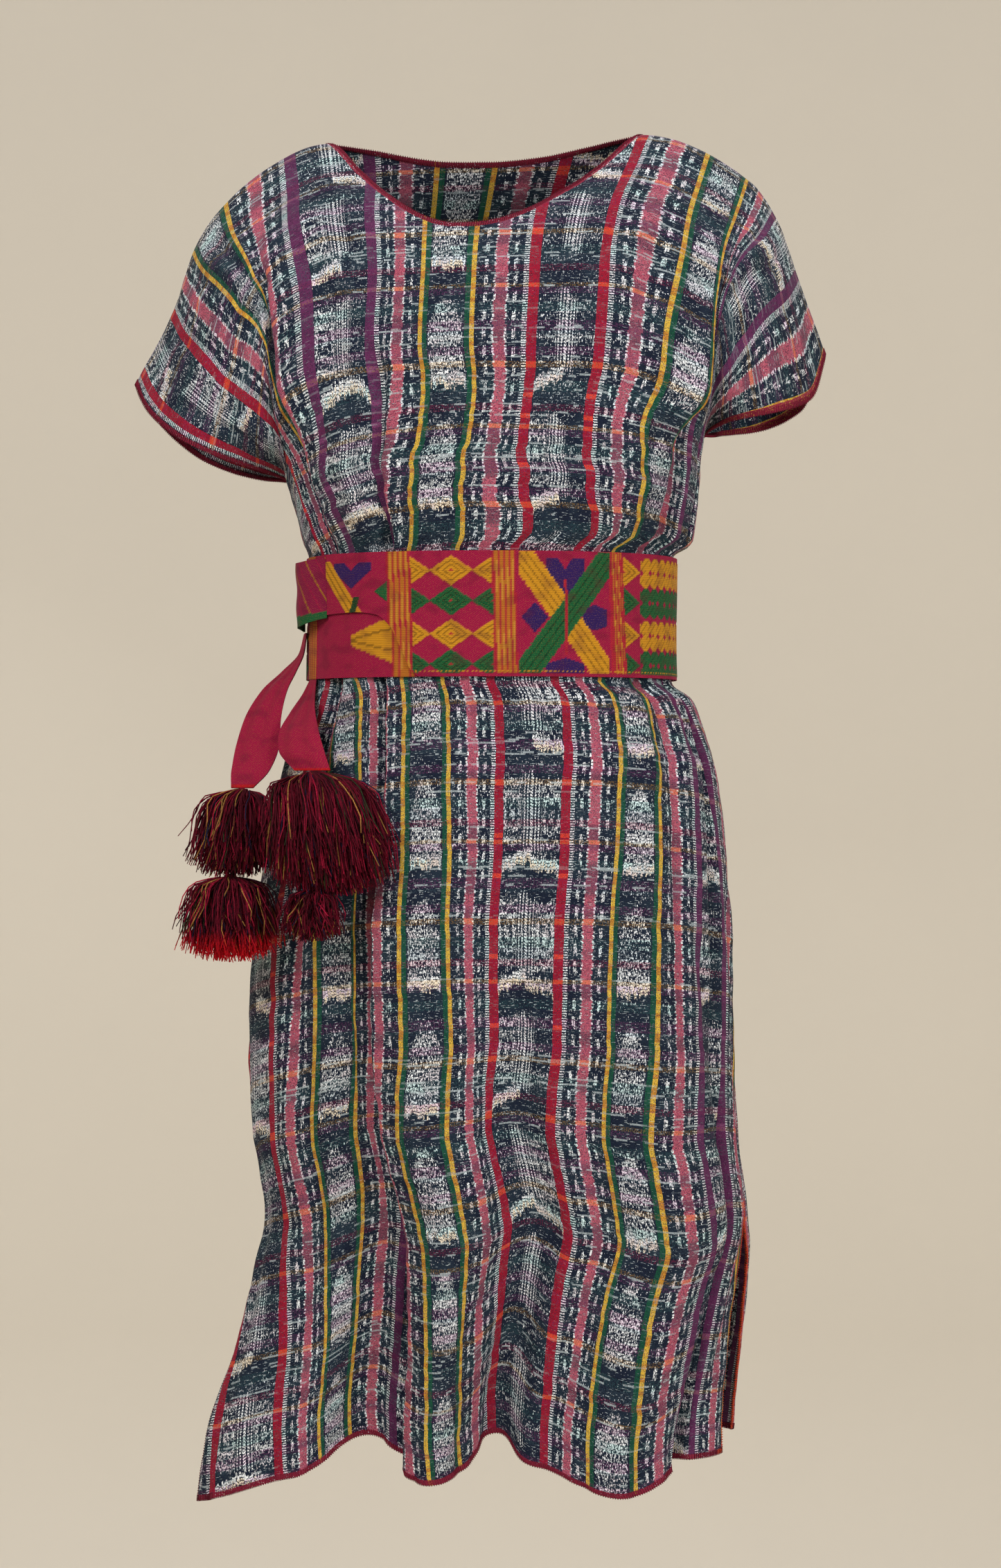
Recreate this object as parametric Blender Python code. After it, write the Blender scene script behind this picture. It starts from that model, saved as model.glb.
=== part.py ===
"""Handwoven dress folded from one loom length, with a brocaded sash and yarn tassels.

Units are metres and +Z is up. The wearer faces -Y. The origin lies midway between the
shoulders, on the fold of the cloth. Along the cloth, u runs across the loom width from
a stripe centre, and v runs down from the shoulder fold.
"""

import math

import bmesh
import bpy
import numpy as np
from mathutils import Vector

MM = 0.001

# Dress cloth, as cut
CLOTH = 0.0016
SEAM_GAP = 0.0003
PANEL_LEFT = -0.296
PANEL_RIGHT = 0.328
PANEL_LENGTH = 0.985
ARMHOLE_DEPTH = 0.200
SLIT_TOP = 0.790
NECK_LEFT = -0.085
NECK_RIGHT = 0.106
NECK_ROUNDNESS = 2.3
NECK_DEPTH = {"front": 0.108, "back": 0.030}
NECK_FADE = 0.20

# Sash, wound twice round the waist
SASH = 0.0016
SASH_TOP = -0.3045
SASH_BOTTOM = -0.3915
SASH_CLEARANCE = 0.0005
SASH_LAP_GAP = 0.0005
SASH_COLUMNS = 56
UPPER_WRAP_START = 0.555
UPPER_WRAP_END = 3.75
UPPER_WRAP_COLUMNS = 34

# Lower edge of the upper wrap, in millimetres
EDGE_COLUMNS = ("across", "height")
UPPER_WRAP_EDGE = (
    (-130, -348), (-90, -346), (-76, -348), (-66, -356), (-58, -372), (-50, -388),
    (-44, -391.5), (200, -391.5))

# The turned over end of the sash: turn round the waist, then millimetres out
TURN_COLUMNS = ("turn", "out", "top", "bottom")
SASH_TURN = (
    (0.550, 4.3, -306, -349), (0.500, 7.5, -307, -350), (0.430, 12.0, -308, -352),
    (0.340, 14.0, -309, -354), (0.250, 12.5, -309, -355), (0.170, 8.0, -308, -356),
    (0.100, 5.0, -307, -357))

# Hanging ends: height, middle x and y, half width and heading of the ribbon's breadth
TAIL_COLUMNS = ("height", "x", "y", "half_width", "heading", "bow")
TAIL_LEFT = (
    (-358, -128.5, -14, 9, -82, 0), (-372, -130.5, -17, 9.5, -78, 0.5),
    (-386, -139.0, -24, 10, -58, 1.5), (-400, -149.0, -34, 11.5, -37, 2.5),
    (-420, -156.5, -48, 14, -22, 3), (-440, -159.5, -61, 16, -16, 3),
    (-456, -163.5, -72, 14, -14, 2), (-468.7, -169.0, -80, 8, -12, 0))
TAIL_FRONT = (
    (-392.2, -121.9, -34.3, 7, -68, 0.3), (-402, -123.5, -44, 9, -60, 0.5),
    (-416, -127.0, -61, 13, -46, 1.5), (-430, -129.0, -76, 17, -34, 3),
    (-443, -127.0, -86, 18, -27, 3.5), (-456.7, -119.0, -95, 14, -24, 1))
TAIL_SHARES = (-1, -0.5, 0, 0.5, 1)

# Tassels of yarn: sizes in millimetres, where reach is how far the locks spread
HEAD_CAP = 0.62
LOCK_RADII = (0.30, 0.52, 1.0)
LOCK_DROOP = 0.22
LOCK_SPREAD_POWER = 0.85
LOCK_ROOT = 1.3
KNEE_SPREAD, KNEE_DROP = 0.66, 0.36
KNEE_LIFT, KNEE_RISE = 0.6, 0.5
LOCK_UNEVEN = 0.04
UNEVEN_TURNS = Vector((37, 23, 11))
TASSEL_COLUMNS = ("head", "across", "depth", "length", "sway_x", "sway_y", "lock")
TASSELS = {
    "tassel_left": (7, 30, 21, 50, -6, -16, 1.8),
    "tassel_left_lower": (7, 34, 20, 48, 0, -6, 1.8),
    "tassel_front": (7.5, 44, 20, 70, 14, -30, 1.8),
    "tassel_front_lower": (5, 21, 15, 29, 0, -4, 1.2),
}

# Yoke guide lines, in millimetres, at six distances down the cloth
GUIDE_DROPS = (0, 50, 100, 150, 200, 250)
YOKE_GUIDES = {
    "left edge": ((-251.5, 0, -177.5), (-238, -40, -202.5), (-206, -68, -228),
                  (-167, -50, -242), (-140, -1.5, -249), (-139, 0, -278)),
    "left outer sleeve": ((-224.5, 0, -126), (-214, -45, -148), (-189, -75, -177),
                          (-163, -78, -212), (-141, -52, -238), (-140, -36, -272)),
    "left inner sleeve": ((-205, 0, -72.5), (-195, -45, -92), (-172, -80, -120),
                          (-155, -84, -163), (-147, -70, -208), (-143, -52, -250)),
    "left fold": ((-158.5, 0, -23.5), (-156, -38, -56), (-151, -72, -92),
                  (-147, -88, -138), (-144, -88, -187), (-140, -80, -236)),
    "left neck": ((-114.5, 0, -4.5), (-111, -39, -35), (-108, -74, -71),
                  (-102, -92, -117), (-100, -98, -166), (-99, -96, -215)),
    "centre": ((0, 0, 0), (-5, -42, -30), (-12, -78, -68),
               (-16, -102, -114), (-17, -113, -163), (-17, -114, -212)),
    "right neck": ((114, 0, 2), (104, -40, -28), (92, -76, -66),
                   (81, -98, -112), (75, -108, -162), (73, -108, -211)),
    "right fold": ((190, 0, -31), (180, -40, -60), (168, -70, -96),
                   (161, -84, -140), (158, -86, -189), (154, -82, -238)),
    "right inner sleeve": ((211, 0, -61), (200, -46, -80), (178, -78, -106),
                           (165, -82, -145), (158, -68, -194), (154, -48, -232)),
    "right outer sleeve": ((225, 0, -100), (214, -46, -118), (190, -74, -146),
                           (170, -74, -180), (157, -48, -207), (153, -30, -243)),
    "right edge": ((245, 0, -155), (232, -38, -192), (203, -64, -205),
                   (172, -50, -210), (157, -1.5, -216), (153, 0, -250)),
}
# Where each guide crosses the cloth: a place u in millimetres, or a share of the sleeve
GUIDE_PLACES = {
    "left edge": -296, "left outer sleeve": 0.37, "left inner sleeve": 0.68,
    "left fold": -125, "left neck": -85, "centre": 10, "right neck": 106,
    "right fold": 192, "right inner sleeve": 0.35, "right outer sleeve": 0.68,
    "right edge": 328,
}
BACK_YOKE_DEPTH = 0.92
# The cloth bends over the shoulder: it leaves the fold nearly level
FOLD_DROP, FOLD_OUT, FOLD_SHARE = 0.013, 0.0125, 0.09

# Height of each line across the cloth, in millimetres
HANG_COLUMNS = ("drop", "middle", "left", "right")
HANG = (
    (100, -70, -228, -205),
    (150, -118, -242, -210),
    (200, -166, -249, -216),
    (250, -214, -278, -252),
    (300, -262, -310, -290),
    (345, -306, -345, -330),
    (430, -390, -425, -413),
    (600, -558, -592, -580),
    (800, -757, -790, -775),
    (985, -938, -966, -936),
)
HANG_POWER = 2.4
LEVEL_FROM, LEVEL_KEPT = 0.325, 0.47

# Sections through the worn dress at a height, in millimetres
SECTION_COLUMNS = ("height", "front_left", "front_right", "front_depth", "front_end",
                   "back_left", "back_right", "back_depth", "back_end", "power")
SECTIONS = (
    (-980, -195, 166, 106, 64, -162, 176, 108, 26, 2.0),
    (-915, -188, 167, 106, 54, -157, 181, 110, 22, 2.05),
    (-856, -170, 172, 108, 36, -152, 186, 112, 14, 2.15),
    (-810, -160, 180, 110, 17, -151, 189, 113, 6, 2.2),
    (-772, -153, 186, 112, 0, -153, 186, 114, 0, 2.3),
    (-710, -163, 180, 118, 0, -163, 180, 120, 0, 2.25),
    (-650, -167, 178, 120, 0, -167, 178, 124, 0, 2.2),
    (-585, -165, 177, 119, 0, -165, 177, 126, 0, 2.2),
    (-525, -158, 174, 116, 0, -158, 174, 122, 0, 2.2),
    (-456, -145, 166, 110, 0, -145, 166, 112, 0, 2.2),
    (-430, -138, 158, 106, 0, -138, 158, 106, 0, 2.2),
    (-405, -130, 148, 101, 0, -130, 148, 99, 0, 2.2),
    (-394, -126, 134, 97, 0, -126, 134, 92, 0, 2.2),
    (-350, -125, 133, 97, 0, -125, 133, 92, 0, 2.2),
    (-303, -126, 134, 99, 0, -126, 134, 93, 0, 2.2),
    (-292, -130, 149, 105, 0, -130, 149, 99, 0, 2.3),
    (-270, -135, 152, 109, 0, -135, 152, 104, 0, 2.6),
    (-240, -141, 154, 112, 0, -141, 154, 106, 0, 3.0),
    (-160, -146, 158, 112, 0, -146, 158, 106, 0, 3.2),
)

# Pleats swallow cloth: rows of drop, centre, swallowed width and depth, in millimetres
FRONT_PLEATS = {
    "left sleeve tuck": {"opening": 30, "lean": 0.1, "rows": (
        (60, -130, 4, 0), (100, -138, 24, 2), (150, -155, 58, 5), (200, -164, 80, 8),
        (270, -184, 112, 11), (345, -184, 120, 12), (445, -205, 52, 9),
        (600, -205, 20, 4), (720, -205, 16, 0))},
    "waist pleat": {"opening": 22, "lean": 0.9, "rows": (
        (180, -56, 8, 0), (250, -60, 34, 6), (345, -62, 64, 10), (445, -96, 118, 18),
        (700, -95, 108, 21), (985, -80, 84, 20))},
    "right sleeve tuck": {"opening": 28, "lean": -0.1, "rows": (
        (60, 197, 4, 0), (100, 203, 22, 2), (150, 214, 46, 4), (200, 222, 62, 7),
        (270, 205, 56, 9), (345, 202, 60, 10), (445, 205, 38, 7),
        (600, 205, 20, 4), (720, 205, 16, 0))},
    "right seam tuck": {"opening": 21, "lean": -0.2, "rows": (
        (215, 275, 14, 0), (270, 276, 46, 12), (345, 276, 54, 13), (445, 268, 50, 13),
        (600, 258, 34, 8), (985, 258, 56, 13))},
}
BACK_PLEATS = {
    "left sleeve tuck": {"opening": 30, "lean": 0.1, "rows": (
        (60, -130, 4, 0), (100, -138, 24, 2), (150, -155, 58, 5), (200, -164, 80, 8),
        (270, -188, 100, 11), (345, -190, 88, 12), (445, -195, 66, 10),
        (700, -195, 30, 8), (985, -195, 30, 8))},
    "back left pleat": {"opening": 23, "lean": -0.3, "rows": (
        (200, -72, 8, 0), (345, -75, 56, 15), (445, -78, 66, 18), (985, -84, 62, 18))},
    "back right pleat": {"opening": 23, "lean": 0.3, "rows": (
        (200, 92, 8, 0), (345, 92, 56, 15), (445, 96, 66, 18), (985, 104, 62, 18))},
    "right sleeve tuck": {"opening": 28, "lean": -0.1, "rows": (
        (60, 197, 4, 0), (100, 203, 22, 2), (150, 214, 46, 4), (200, 222, 62, 7),
        (270, 232, 90, 10), (345, 232, 82, 11), (445, 234, 62, 9),
        (700, 234, 28, 7), (985, 234, 30, 8))},
}

# Soft waves stand out from the cloth: centre, half width, rows of drop and height, and the
# lift that they give the hem, in millimetres
FRONT_WAVES = {
    "left lobe": (-280, 72, ((430, 0), (600, 3), (985, 8)), -5),
    "left valley": (-142, 66, ((430, 0), (600, -6), (985, -24)), 21),
    "centre lobe": (-10, 46, ((430, 0), (600, 6), (985, 24)), -7),
    "centre valley": (66, 44, ((430, 0), (600, -6), (985, -24)), 20),
    "right lobe": (182, 78, ((430, 0), (600, 5), (985, 18)), -20),
    "left tension fold": (-98, 26, ((200, 0), (290, 4), (332, 0)), 0),
    "right tension fold": (150, 26, ((180, 0), (290, 5), (332, 0)), 0),
}
BACK_WAVES = {
    "left lobe": (-245, 56, ((430, 0), (600, 5), (985, 16)), -6),
    "left valley": (-140, 46, ((430, 0), (600, -4), (985, -16)), 14),
    "centre lobe": (10, 66, ((430, 0), (600, 6), (985, 20)), -8),
    "right valley": (160, 48, ((430, 0), (600, -4), (985, -16)), 15),
    "right lobe": (280, 50, ((430, 0), (600, 4), (985, 12)), -5),
}
EDGE_CALM = 0.030
LIFT_START = 0.620

# Grid lines over the cloth, in millimetres
FRONT_LINES_ACROSS = (
    -296, -284, -268, -252, -238, -224, -210, -196, -182, -168, -154, -140, -126, -112,
    -99, -85, -72, -58, -44, -28, -10, 10, 30, 48, 66, 86, 106, 124, 142, 160, 176, 192,
    204, 216, 228, 241, 254, 267, 280, 293, 306, 317, 328)
BACK_LINES_ACROSS = (
    -296, -280, -260, -240, -222, -205, -188, -170, -152, -135, -118, -102, -85, -68,
    -50, -28, -6, 16, 38, 58, 74, 90, 106, 122, 140, 160, 180, 200, 218, 236, 254, 274,
    294, 312, 328)
FRONT_LINES_DOWN = (
    0, 22, 45, 70, 95, 120, 145, 168, 188, 200, 216, 234, 252, 270, 286, 302, 317, 331,
    342, 385, 434, 446, 462, 485, 515, 550, 590, 640, 690, 740, 790, 830, 880, 935, 985)
BACK_LINES_DOWN = (
    0, 30, 62, 95, 130, 165, 200, 225, 252, 280, 306, 331, 342, 385, 434, 446, 468, 505,
    560, 625, 700, 790, 850, 920, 985)

# Fine grid over the cloth, on which the worn shape is worked out
FINE_ACROSS = np.linspace(PANEL_LEFT, PANEL_RIGHT, 313)
FINE_DOWN = np.linspace(0, PANEL_LENGTH, 395)
BODY_BLEND = 0.060
LEAST_SHARE = 0.2
TINY = 1e-12


def through(places, values, at):
    """Monotone cubic through the values, which keeps flat stretches flat."""
    places = np.asarray(places, float)
    values = np.asarray(values, float)
    at = np.clip(np.asarray(at, float), places[0], places[-1])
    steps = np.diff(places)
    slopes = (np.diff(values, axis=0).T / steps).T
    tangents = np.zeros_like(values)
    left, right = slopes[:-1], slopes[1:]
    agree = left * right > 0
    safe = np.where(agree, left + right, 1.0)
    tangents[1:-1] = np.where(agree, 2 * left * right / safe, 0.0)
    tangents[0] = slopes[0]
    tangents[-1] = slopes[-1]
    index = np.clip(np.searchsorted(places, at, side="right") - 1, 0, len(steps) - 1)
    step = steps[index]
    share = (at - places[index]) / step
    extra = values.ndim - 1
    share = share.reshape(share.shape + (1,) * extra)
    step = step.reshape(step.shape + (1,) * extra)
    start = (1 + 2 * share) * (1 - share) ** 2 * values[index]
    leave = share * (1 - share) ** 2 * step * tangents[index]
    arrive = share ** 2 * (3 - 2 * share) * values[index + 1]
    enter = share ** 2 * (share - 1) * step * tangents[index + 1]
    return start + leave + arrive + enter


def ease(value, start, end):
    """0 before start, 1 after end, and a smooth rise between."""
    share = np.clip((np.asarray(value, float) - start) / (end - start), 0, 1)
    return share * share * (3 - 2 * share)


def bell(offset, half_width):
    """A rounded bump, 1 at its centre and 0 beyond the half width."""
    share = np.clip(np.abs(offset) / half_width, 0, 1)
    return np.cos(share * math.pi / 2) ** 2


def section_at(height):
    """The section's named sizes in metres at each height."""
    rows = np.array(sorted(SECTIONS), float)
    sizes = through(rows[:, 0] * MM, rows[:, 1:], height)
    named = dict(zip(SECTION_COLUMNS[1:], np.moveaxis(sizes, -1, 0)))
    return {name: size if name == "power" else size * MM for name, size in named.items()}


def half_ring(face, height, angle):
    """Point on the front or back half of a section, at an angle from the left end."""
    sizes = section_at(height)
    left, right = sizes[face + "_left"], sizes[face + "_right"]
    depth, end = sizes[face + "_depth"], sizes[face + "_end"]
    power = 2 / sizes["power"]
    across = np.sign(np.cos(angle)) * np.abs(np.cos(angle)) ** power
    out = np.abs(np.sin(angle)) ** power
    x = (left + right) / 2 - (right - left) / 2 * across
    y = end + (depth - end) * out + SEAM_GAP / 2
    return x, (-y if face == "front" else y)


def half_ring_angles(face, height, shares):
    """Angles that cut the half section at these shares of its length."""
    angles = np.linspace(0, math.pi, 361)
    x, y = half_ring(face, np.full_like(angles, height), angles)
    lengths = np.concatenate([[0], np.cumsum(np.hypot(np.diff(x), np.diff(y)))])
    return np.interp(shares, lengths / lengths[-1], angles)


def pleat_at(pleat, drop):
    rows = np.array(pleat["rows"], float) * MM
    centre, width, depth = np.moveaxis(through(rows[:, 0], rows[:, 1:], drop), -1, 0)
    begun = np.where(drop < rows[0, 0], 0.0, 1.0) * np.where(drop > rows[-1, 0], 0.0, 1.0)
    return centre, width * begun, depth * begun


def seam_calm(across, drop):
    """0 at the side seams, where both panels must meet, and 1 away from them."""
    calm = ease(across, PANEL_LEFT, PANEL_LEFT + EDGE_CALM)
    calm = calm * ease(-across, -PANEL_RIGHT, -PANEL_RIGHT + EDGE_CALM)
    return calm + (1 - calm) * ease(drop, SLIT_TOP, PANEL_LENGTH)


def wave_height(waves, across, drop):
    """How far the cloth stands out in soft waves."""
    height = np.zeros(np.broadcast(across, drop).shape)
    for centre, half_width, rows, _ in waves.values():
        rows = np.array(rows, float) * MM
        size = through(rows[:, 0], rows[:, 1], drop) * (drop > rows[0, 0])
        height = height + size * bell(across - centre * MM, half_width * MM)
    return height * seam_calm(across, drop)


def hem_lift(waves, across, drop):
    """How far the cloth rises in the valleys and dips in the lobes, down to the hem."""
    lift = np.zeros(np.broadcast(across, drop).shape)
    for centre, half_width, rows, swing in waves.values():
        lift = lift + swing * MM * bell(across - centre * MM, half_width * MM)
    return lift * ease(drop, LIFT_START, PANEL_LENGTH) * seam_calm(across, drop)


def pleat_depth(pleats, across, drop):
    """How far the cloth goes in at its pleats, and how far it leans along the row."""
    depth = np.zeros(np.broadcast(across, drop).shape)
    lean = np.zeros_like(depth)
    for pleat in pleats.values():
        centre, width, deep = pleat_at(pleat, drop)
        here = deep * bell(across - centre, np.maximum(width, MM) / 2)
        depth = depth + here
        lean = lean + here * pleat["lean"]
    return depth, lean


def row_lengths(pleats, waves, drop):
    """Length left along the row up to each fine place, once pleats and waves take theirs."""
    height = wave_height(waves, FINE_ACROSS, np.full_like(FINE_ACROSS, drop))
    slope = np.gradient(height, FINE_ACROSS)
    rate = np.sqrt(np.clip(1 - slope ** 2, LEAST_SHARE, 1))
    for pleat in pleats.values():
        centre, width, deep = pleat_at(pleat, np.array(drop))
        if width <= 0 or deep <= 0:
            continue
        opening = min(pleat["opening"] * MM / float(width), 1.0)
        inside = np.abs(FINE_ACROSS - centre) < width / 2
        rate = np.where(inside, rate * opening, rate)
    steps = np.diff(FINE_ACROSS) * (rate[1:] + rate[:-1]) / 2
    return np.concatenate([[0], np.cumsum(steps)])


def yoke_row(drop, at):
    """Points along one row of the yoke and sleeves, through the guide lines, on the front."""
    drops = np.insert(np.array(GUIDE_DROPS, float) * MM, 1, FOLD_DROP)
    stations = []
    for line in YOKE_GUIDES.values():
        line = np.array(line, float) * MM
        bend = line[0] + (line[1] - line[0]) * FOLD_SHARE
        bend[1] = -FOLD_OUT
        stations.append(through(drops, np.insert(line, 1, bend, axis=0), np.array(drop)))
    stations = np.array(stations)
    marks = {}
    for name, place in GUIDE_PLACES.items():
        if abs(place) > 1:
            marks[name] = float(at(place * MM))
    for side in ("left", "right"):
        low, high = sorted((marks[side + " edge"], marks[side + " fold"]))
        for part in ("inner", "outer"):
            name = f"{side} {part} sleeve"
            marks[name] = low + (high - low) * GUIDE_PLACES[name]
    places = [marks[name] for name in YOKE_GUIDES]
    return through(places, stations, at(FINE_ACROSS))


def hang_height(share, drop):
    """Height of the cloth at a share of the row, from 0 at the left to 1."""
    rows = np.array(HANG, float) * MM
    middle, left, right = np.moveaxis(through(rows[:, 0], rows[:, 1:], drop), -1, 0)
    side = np.where(share < 0.5, left, right)
    return middle + (side - middle) * np.abs(2 * share - 1) ** HANG_POWER


def body_row(face, drop, share):
    """Points along one row of the body and skirt, on the sections at their heights."""
    height = hang_height(share, np.full_like(share, drop))
    angle = half_ring_angles(face, float(height.mean()), share)
    x, y = half_ring(face, height, angle)
    return np.stack([x, y, height], axis=1)


def worn_cloth(face, pleats, waves):
    """Middle surface of one panel as worn, at every fine drop and place across."""
    base = np.zeros((len(FINE_DOWN), len(FINE_ACROSS), 3))
    for i, drop in enumerate(FINE_DOWN):
        lengths = row_lengths(pleats, waves, drop)

        def at(place, lengths=lengths):
            return np.interp(place, FINE_ACROSS, lengths)

        worn = float(ease(drop, ARMHOLE_DEPTH, ARMHOLE_DEPTH + BODY_BLEND))
        if worn < 1:
            yoke = yoke_row(drop, at)
            depth = np.abs(yoke[:, 1]) * (1 if face == "front" else BACK_YOKE_DEPTH)
            sign = -1 if face == "front" else 1
            yoke[:, 1] = sign * (depth + SEAM_GAP / 2)
            base[i] += (1 - worn) * yoke
        if worn > 0:
            base[i] += worn * body_row(face, drop, lengths / lengths[-1])
    facing = -1 if face == "front" else 1
    outward = grid_normals(base)
    outward *= facing * np.sign(outward[len(FINE_DOWN) // 2, len(FINE_ACROSS) // 2, 1])
    along = np.gradient(base, axis=1)
    along /= np.maximum(np.linalg.norm(along, axis=2, keepdims=True), TINY)
    places, drops = np.meshgrid(FINE_ACROSS, FINE_DOWN)
    out = wave_height(waves, places, drops)
    deep, lean = pleat_depth(pleats, places, drops)
    cloth = base + outward * (out - deep)[..., None] + along * lean[..., None]
    cloth[..., 2] += hem_lift(waves, places, drops)
    return cloth


def sample_cloth(surface, across, drops):
    """Points of the worn cloth between its fine rows and places."""
    row = np.interp(drops, FINE_DOWN, np.arange(len(FINE_DOWN)))
    column = np.interp(across, FINE_ACROSS, np.arange(len(FINE_ACROSS)))
    i = np.clip(row.astype(int), 0, len(FINE_DOWN) - 2)
    j = np.clip(column.astype(int), 0, len(FINE_ACROSS) - 2)
    s, t = (row - i)[..., None], (column - j)[..., None]
    upper = surface[i, j] * (1 - t) + surface[i, j + 1] * t
    lower = surface[i + 1, j] * (1 - t) + surface[i + 1, j + 1] * t
    return upper * (1 - s) + lower * s


def neck_drop(face, across):
    """How far down the cloth the neck scoop is cut."""
    middle = (NECK_LEFT + NECK_RIGHT) / 2
    share = np.abs(across - middle) / ((NECK_RIGHT - NECK_LEFT) / 2)
    return NECK_DEPTH[face] * np.clip(1 - share ** NECK_ROUNDNESS, 0, 1)


def level_drops(share, drop):
    """Drops at which the level line through the middle of a row crosses each share."""
    middle = hang_height(np.array(0.5), np.array(drop))
    heights = hang_height(share[None, :], FINE_DOWN[:, None])
    return np.array([np.interp(-middle, -line, FINE_DOWN) for line in heights.T])


def cloth_drops(face, pleats, waves, across, down):
    """The drop of each grid point: rows follow the neck, and are level at the waist."""
    drops = np.zeros((len(down), len(across)))
    for i, drop in enumerate(down):
        lengths = row_lengths(pleats, waves, drop)
        share = np.interp(across, FINE_ACROSS, lengths) / lengths[-1]
        drops[i] = drop + neck_drop(face, across) * max(0.0, 1 - drop / NECK_FADE)
        if drop >= LEVEL_FROM:
            kept = 1 - float(ease(drop, LEVEL_KEPT, PANEL_LENGTH))
            drops[i] = drop + kept * (level_drops(share, drop) - drop)
        elif drop > ARMHOLE_DEPTH:
            down_share = (drop - ARMHOLE_DEPTH) / (LEVEL_FROM - ARMHOLE_DEPTH)
            level = level_drops(share, LEVEL_FROM)
            drops[i] = ARMHOLE_DEPTH + down_share * (level - ARMHOLE_DEPTH)
    return drops


def grid_normals(points):
    """Unit normals of a grid of points, from its neighbours along rows and columns."""
    down = np.gradient(points, axis=0)
    over = np.gradient(points, axis=1)
    normals = np.cross(over, down)
    return normals / np.maximum(np.linalg.norm(normals, axis=2, keepdims=True), TINY)


def dress_surface(face, pleats, waves, lines_across, lines_down):
    """Grid of points on the middle of one worn panel, and how far down each lies."""
    across = np.array(lines_across, float) * MM
    drops = cloth_drops(face, pleats, waves, across, np.array(lines_down, float) * MM)
    surface = worn_cloth(face, pleats, waves)
    return sample_cloth(surface, np.broadcast_to(across, drops.shape), drops), drops


def solid_from_walls(name, outer, inner, material, closed=False):
    """A closed wall between two grids of points, open tubes joined round if closed."""
    rows, columns = outer.shape[:2]
    count = rows * columns
    faces = []
    spans = columns if closed else columns - 1
    for i in range(rows - 1):
        for j in range(spans):
            k = (j + 1) % columns
            quad = (i * columns + j, i * columns + k, (i + 1) * columns + k,
                    (i + 1) * columns + j)
            faces.append(quad)
            faces.append(tuple(count + corner for corner in reversed(quad)))
    for i, turn in ((0, 1), (rows - 1, -1)):
        for j in range(spans):
            k = (j + 1) % columns
            rim = (i * columns + k, i * columns + j, count + i * columns + j,
                   count + i * columns + k)
            faces.append(rim[::turn])
    if not closed:
        for j, turn in ((0, 1), (columns - 1, -1)):
            for i in range(rows - 1):
                rim = (i * columns + j, (i + 1) * columns + j,
                       count + (i + 1) * columns + j, count + i * columns + j)
                faces.append(rim[::turn])
    mesh = bpy.data.meshes.new(name)
    points = np.concatenate([outer.reshape(-1, 3), inner.reshape(-1, 3)])
    mesh.from_pydata(points.tolist(), [], faces)
    return finish_solid(name, mesh, material)


def finish_solid(name, mesh, material):
    """Faces out, smooth shading and the piece's own material."""
    form = bmesh.new()
    form.from_mesh(mesh)
    if form.calc_volume(signed=True) < 0:
        bmesh.ops.reverse_faces(form, faces=form.faces)
    form.to_mesh(mesh)
    form.free()
    mesh.shade_smooth()
    mesh.set_sharp_from_angle(angle=math.radians(50))
    mesh.materials.append(material)
    piece = bpy.data.objects.new(name, mesh)
    bpy.context.scene.collection.objects.link(piece)
    return piece


def cloth_material(name, colour, roughness):
    material = bpy.data.materials.new(name)
    material.use_nodes = True
    shader = material.node_tree.nodes["Principled BSDF"]
    shader.inputs["Base Color"].default_value = (*colour, 1)
    shader.inputs["Roughness"].default_value = roughness
    shader.inputs["Metallic"].default_value = 0
    return material


def seam_normals(normals, drops):
    """At the shoulder fold and the side seams the wall's edge faces its neighbour."""
    normals = normals.copy()
    flat = normals[0]
    flat[:, 1] = 0
    joined = (drops >= ARMHOLE_DEPTH - MM) & (drops <= SLIT_TOP + MM)
    for j in (0, normals.shape[1] - 1):
        normals[joined[:, j], j, 1] = 0
    return normals / np.maximum(np.linalg.norm(normals, axis=2, keepdims=True), TINY)


def dress_panel(name, face, pleats, waves, lines_across, lines_down, material):
    middle, drops = dress_surface(face, pleats, waves, lines_across, lines_down)
    normals = grid_normals(middle)
    normals = seam_normals(normals, drops)
    outer = middle + normals * CLOTH / 2
    inner = middle - normals * CLOTH / 2
    return solid_from_walls(name, outer, inner, material)


def waist_ring(height, turn, out):
    """Points round the waist, from its left end over the front, moved outwards."""
    turn = np.asarray(turn, float)
    height = np.broadcast_to(height, turn.shape)

    def around(turn):
        turn = turn % (2 * math.pi)
        front = half_ring("front", height, np.minimum(turn, math.pi))
        back = half_ring("back", height, 2 * math.pi - np.maximum(turn, math.pi))
        return np.where(turn <= math.pi, front, back)

    step = 0.002
    along = around(turn + step) - around(turn - step)
    along = along / np.maximum(np.hypot(*along), TINY)
    x, y = around(turn)
    return np.stack([x + along[1] * out, y - along[0] * out, height], axis=-1)


def wrap_walls(name, heights, turns, out, material, closed=False):
    """A layer of the sash between two offsets from the waist."""
    outer = waist_ring(heights, turns, out + SASH / 2)
    inner = waist_ring(heights, turns, out - SASH / 2)
    return solid_from_walls(name, outer, inner, material, closed)


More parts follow.
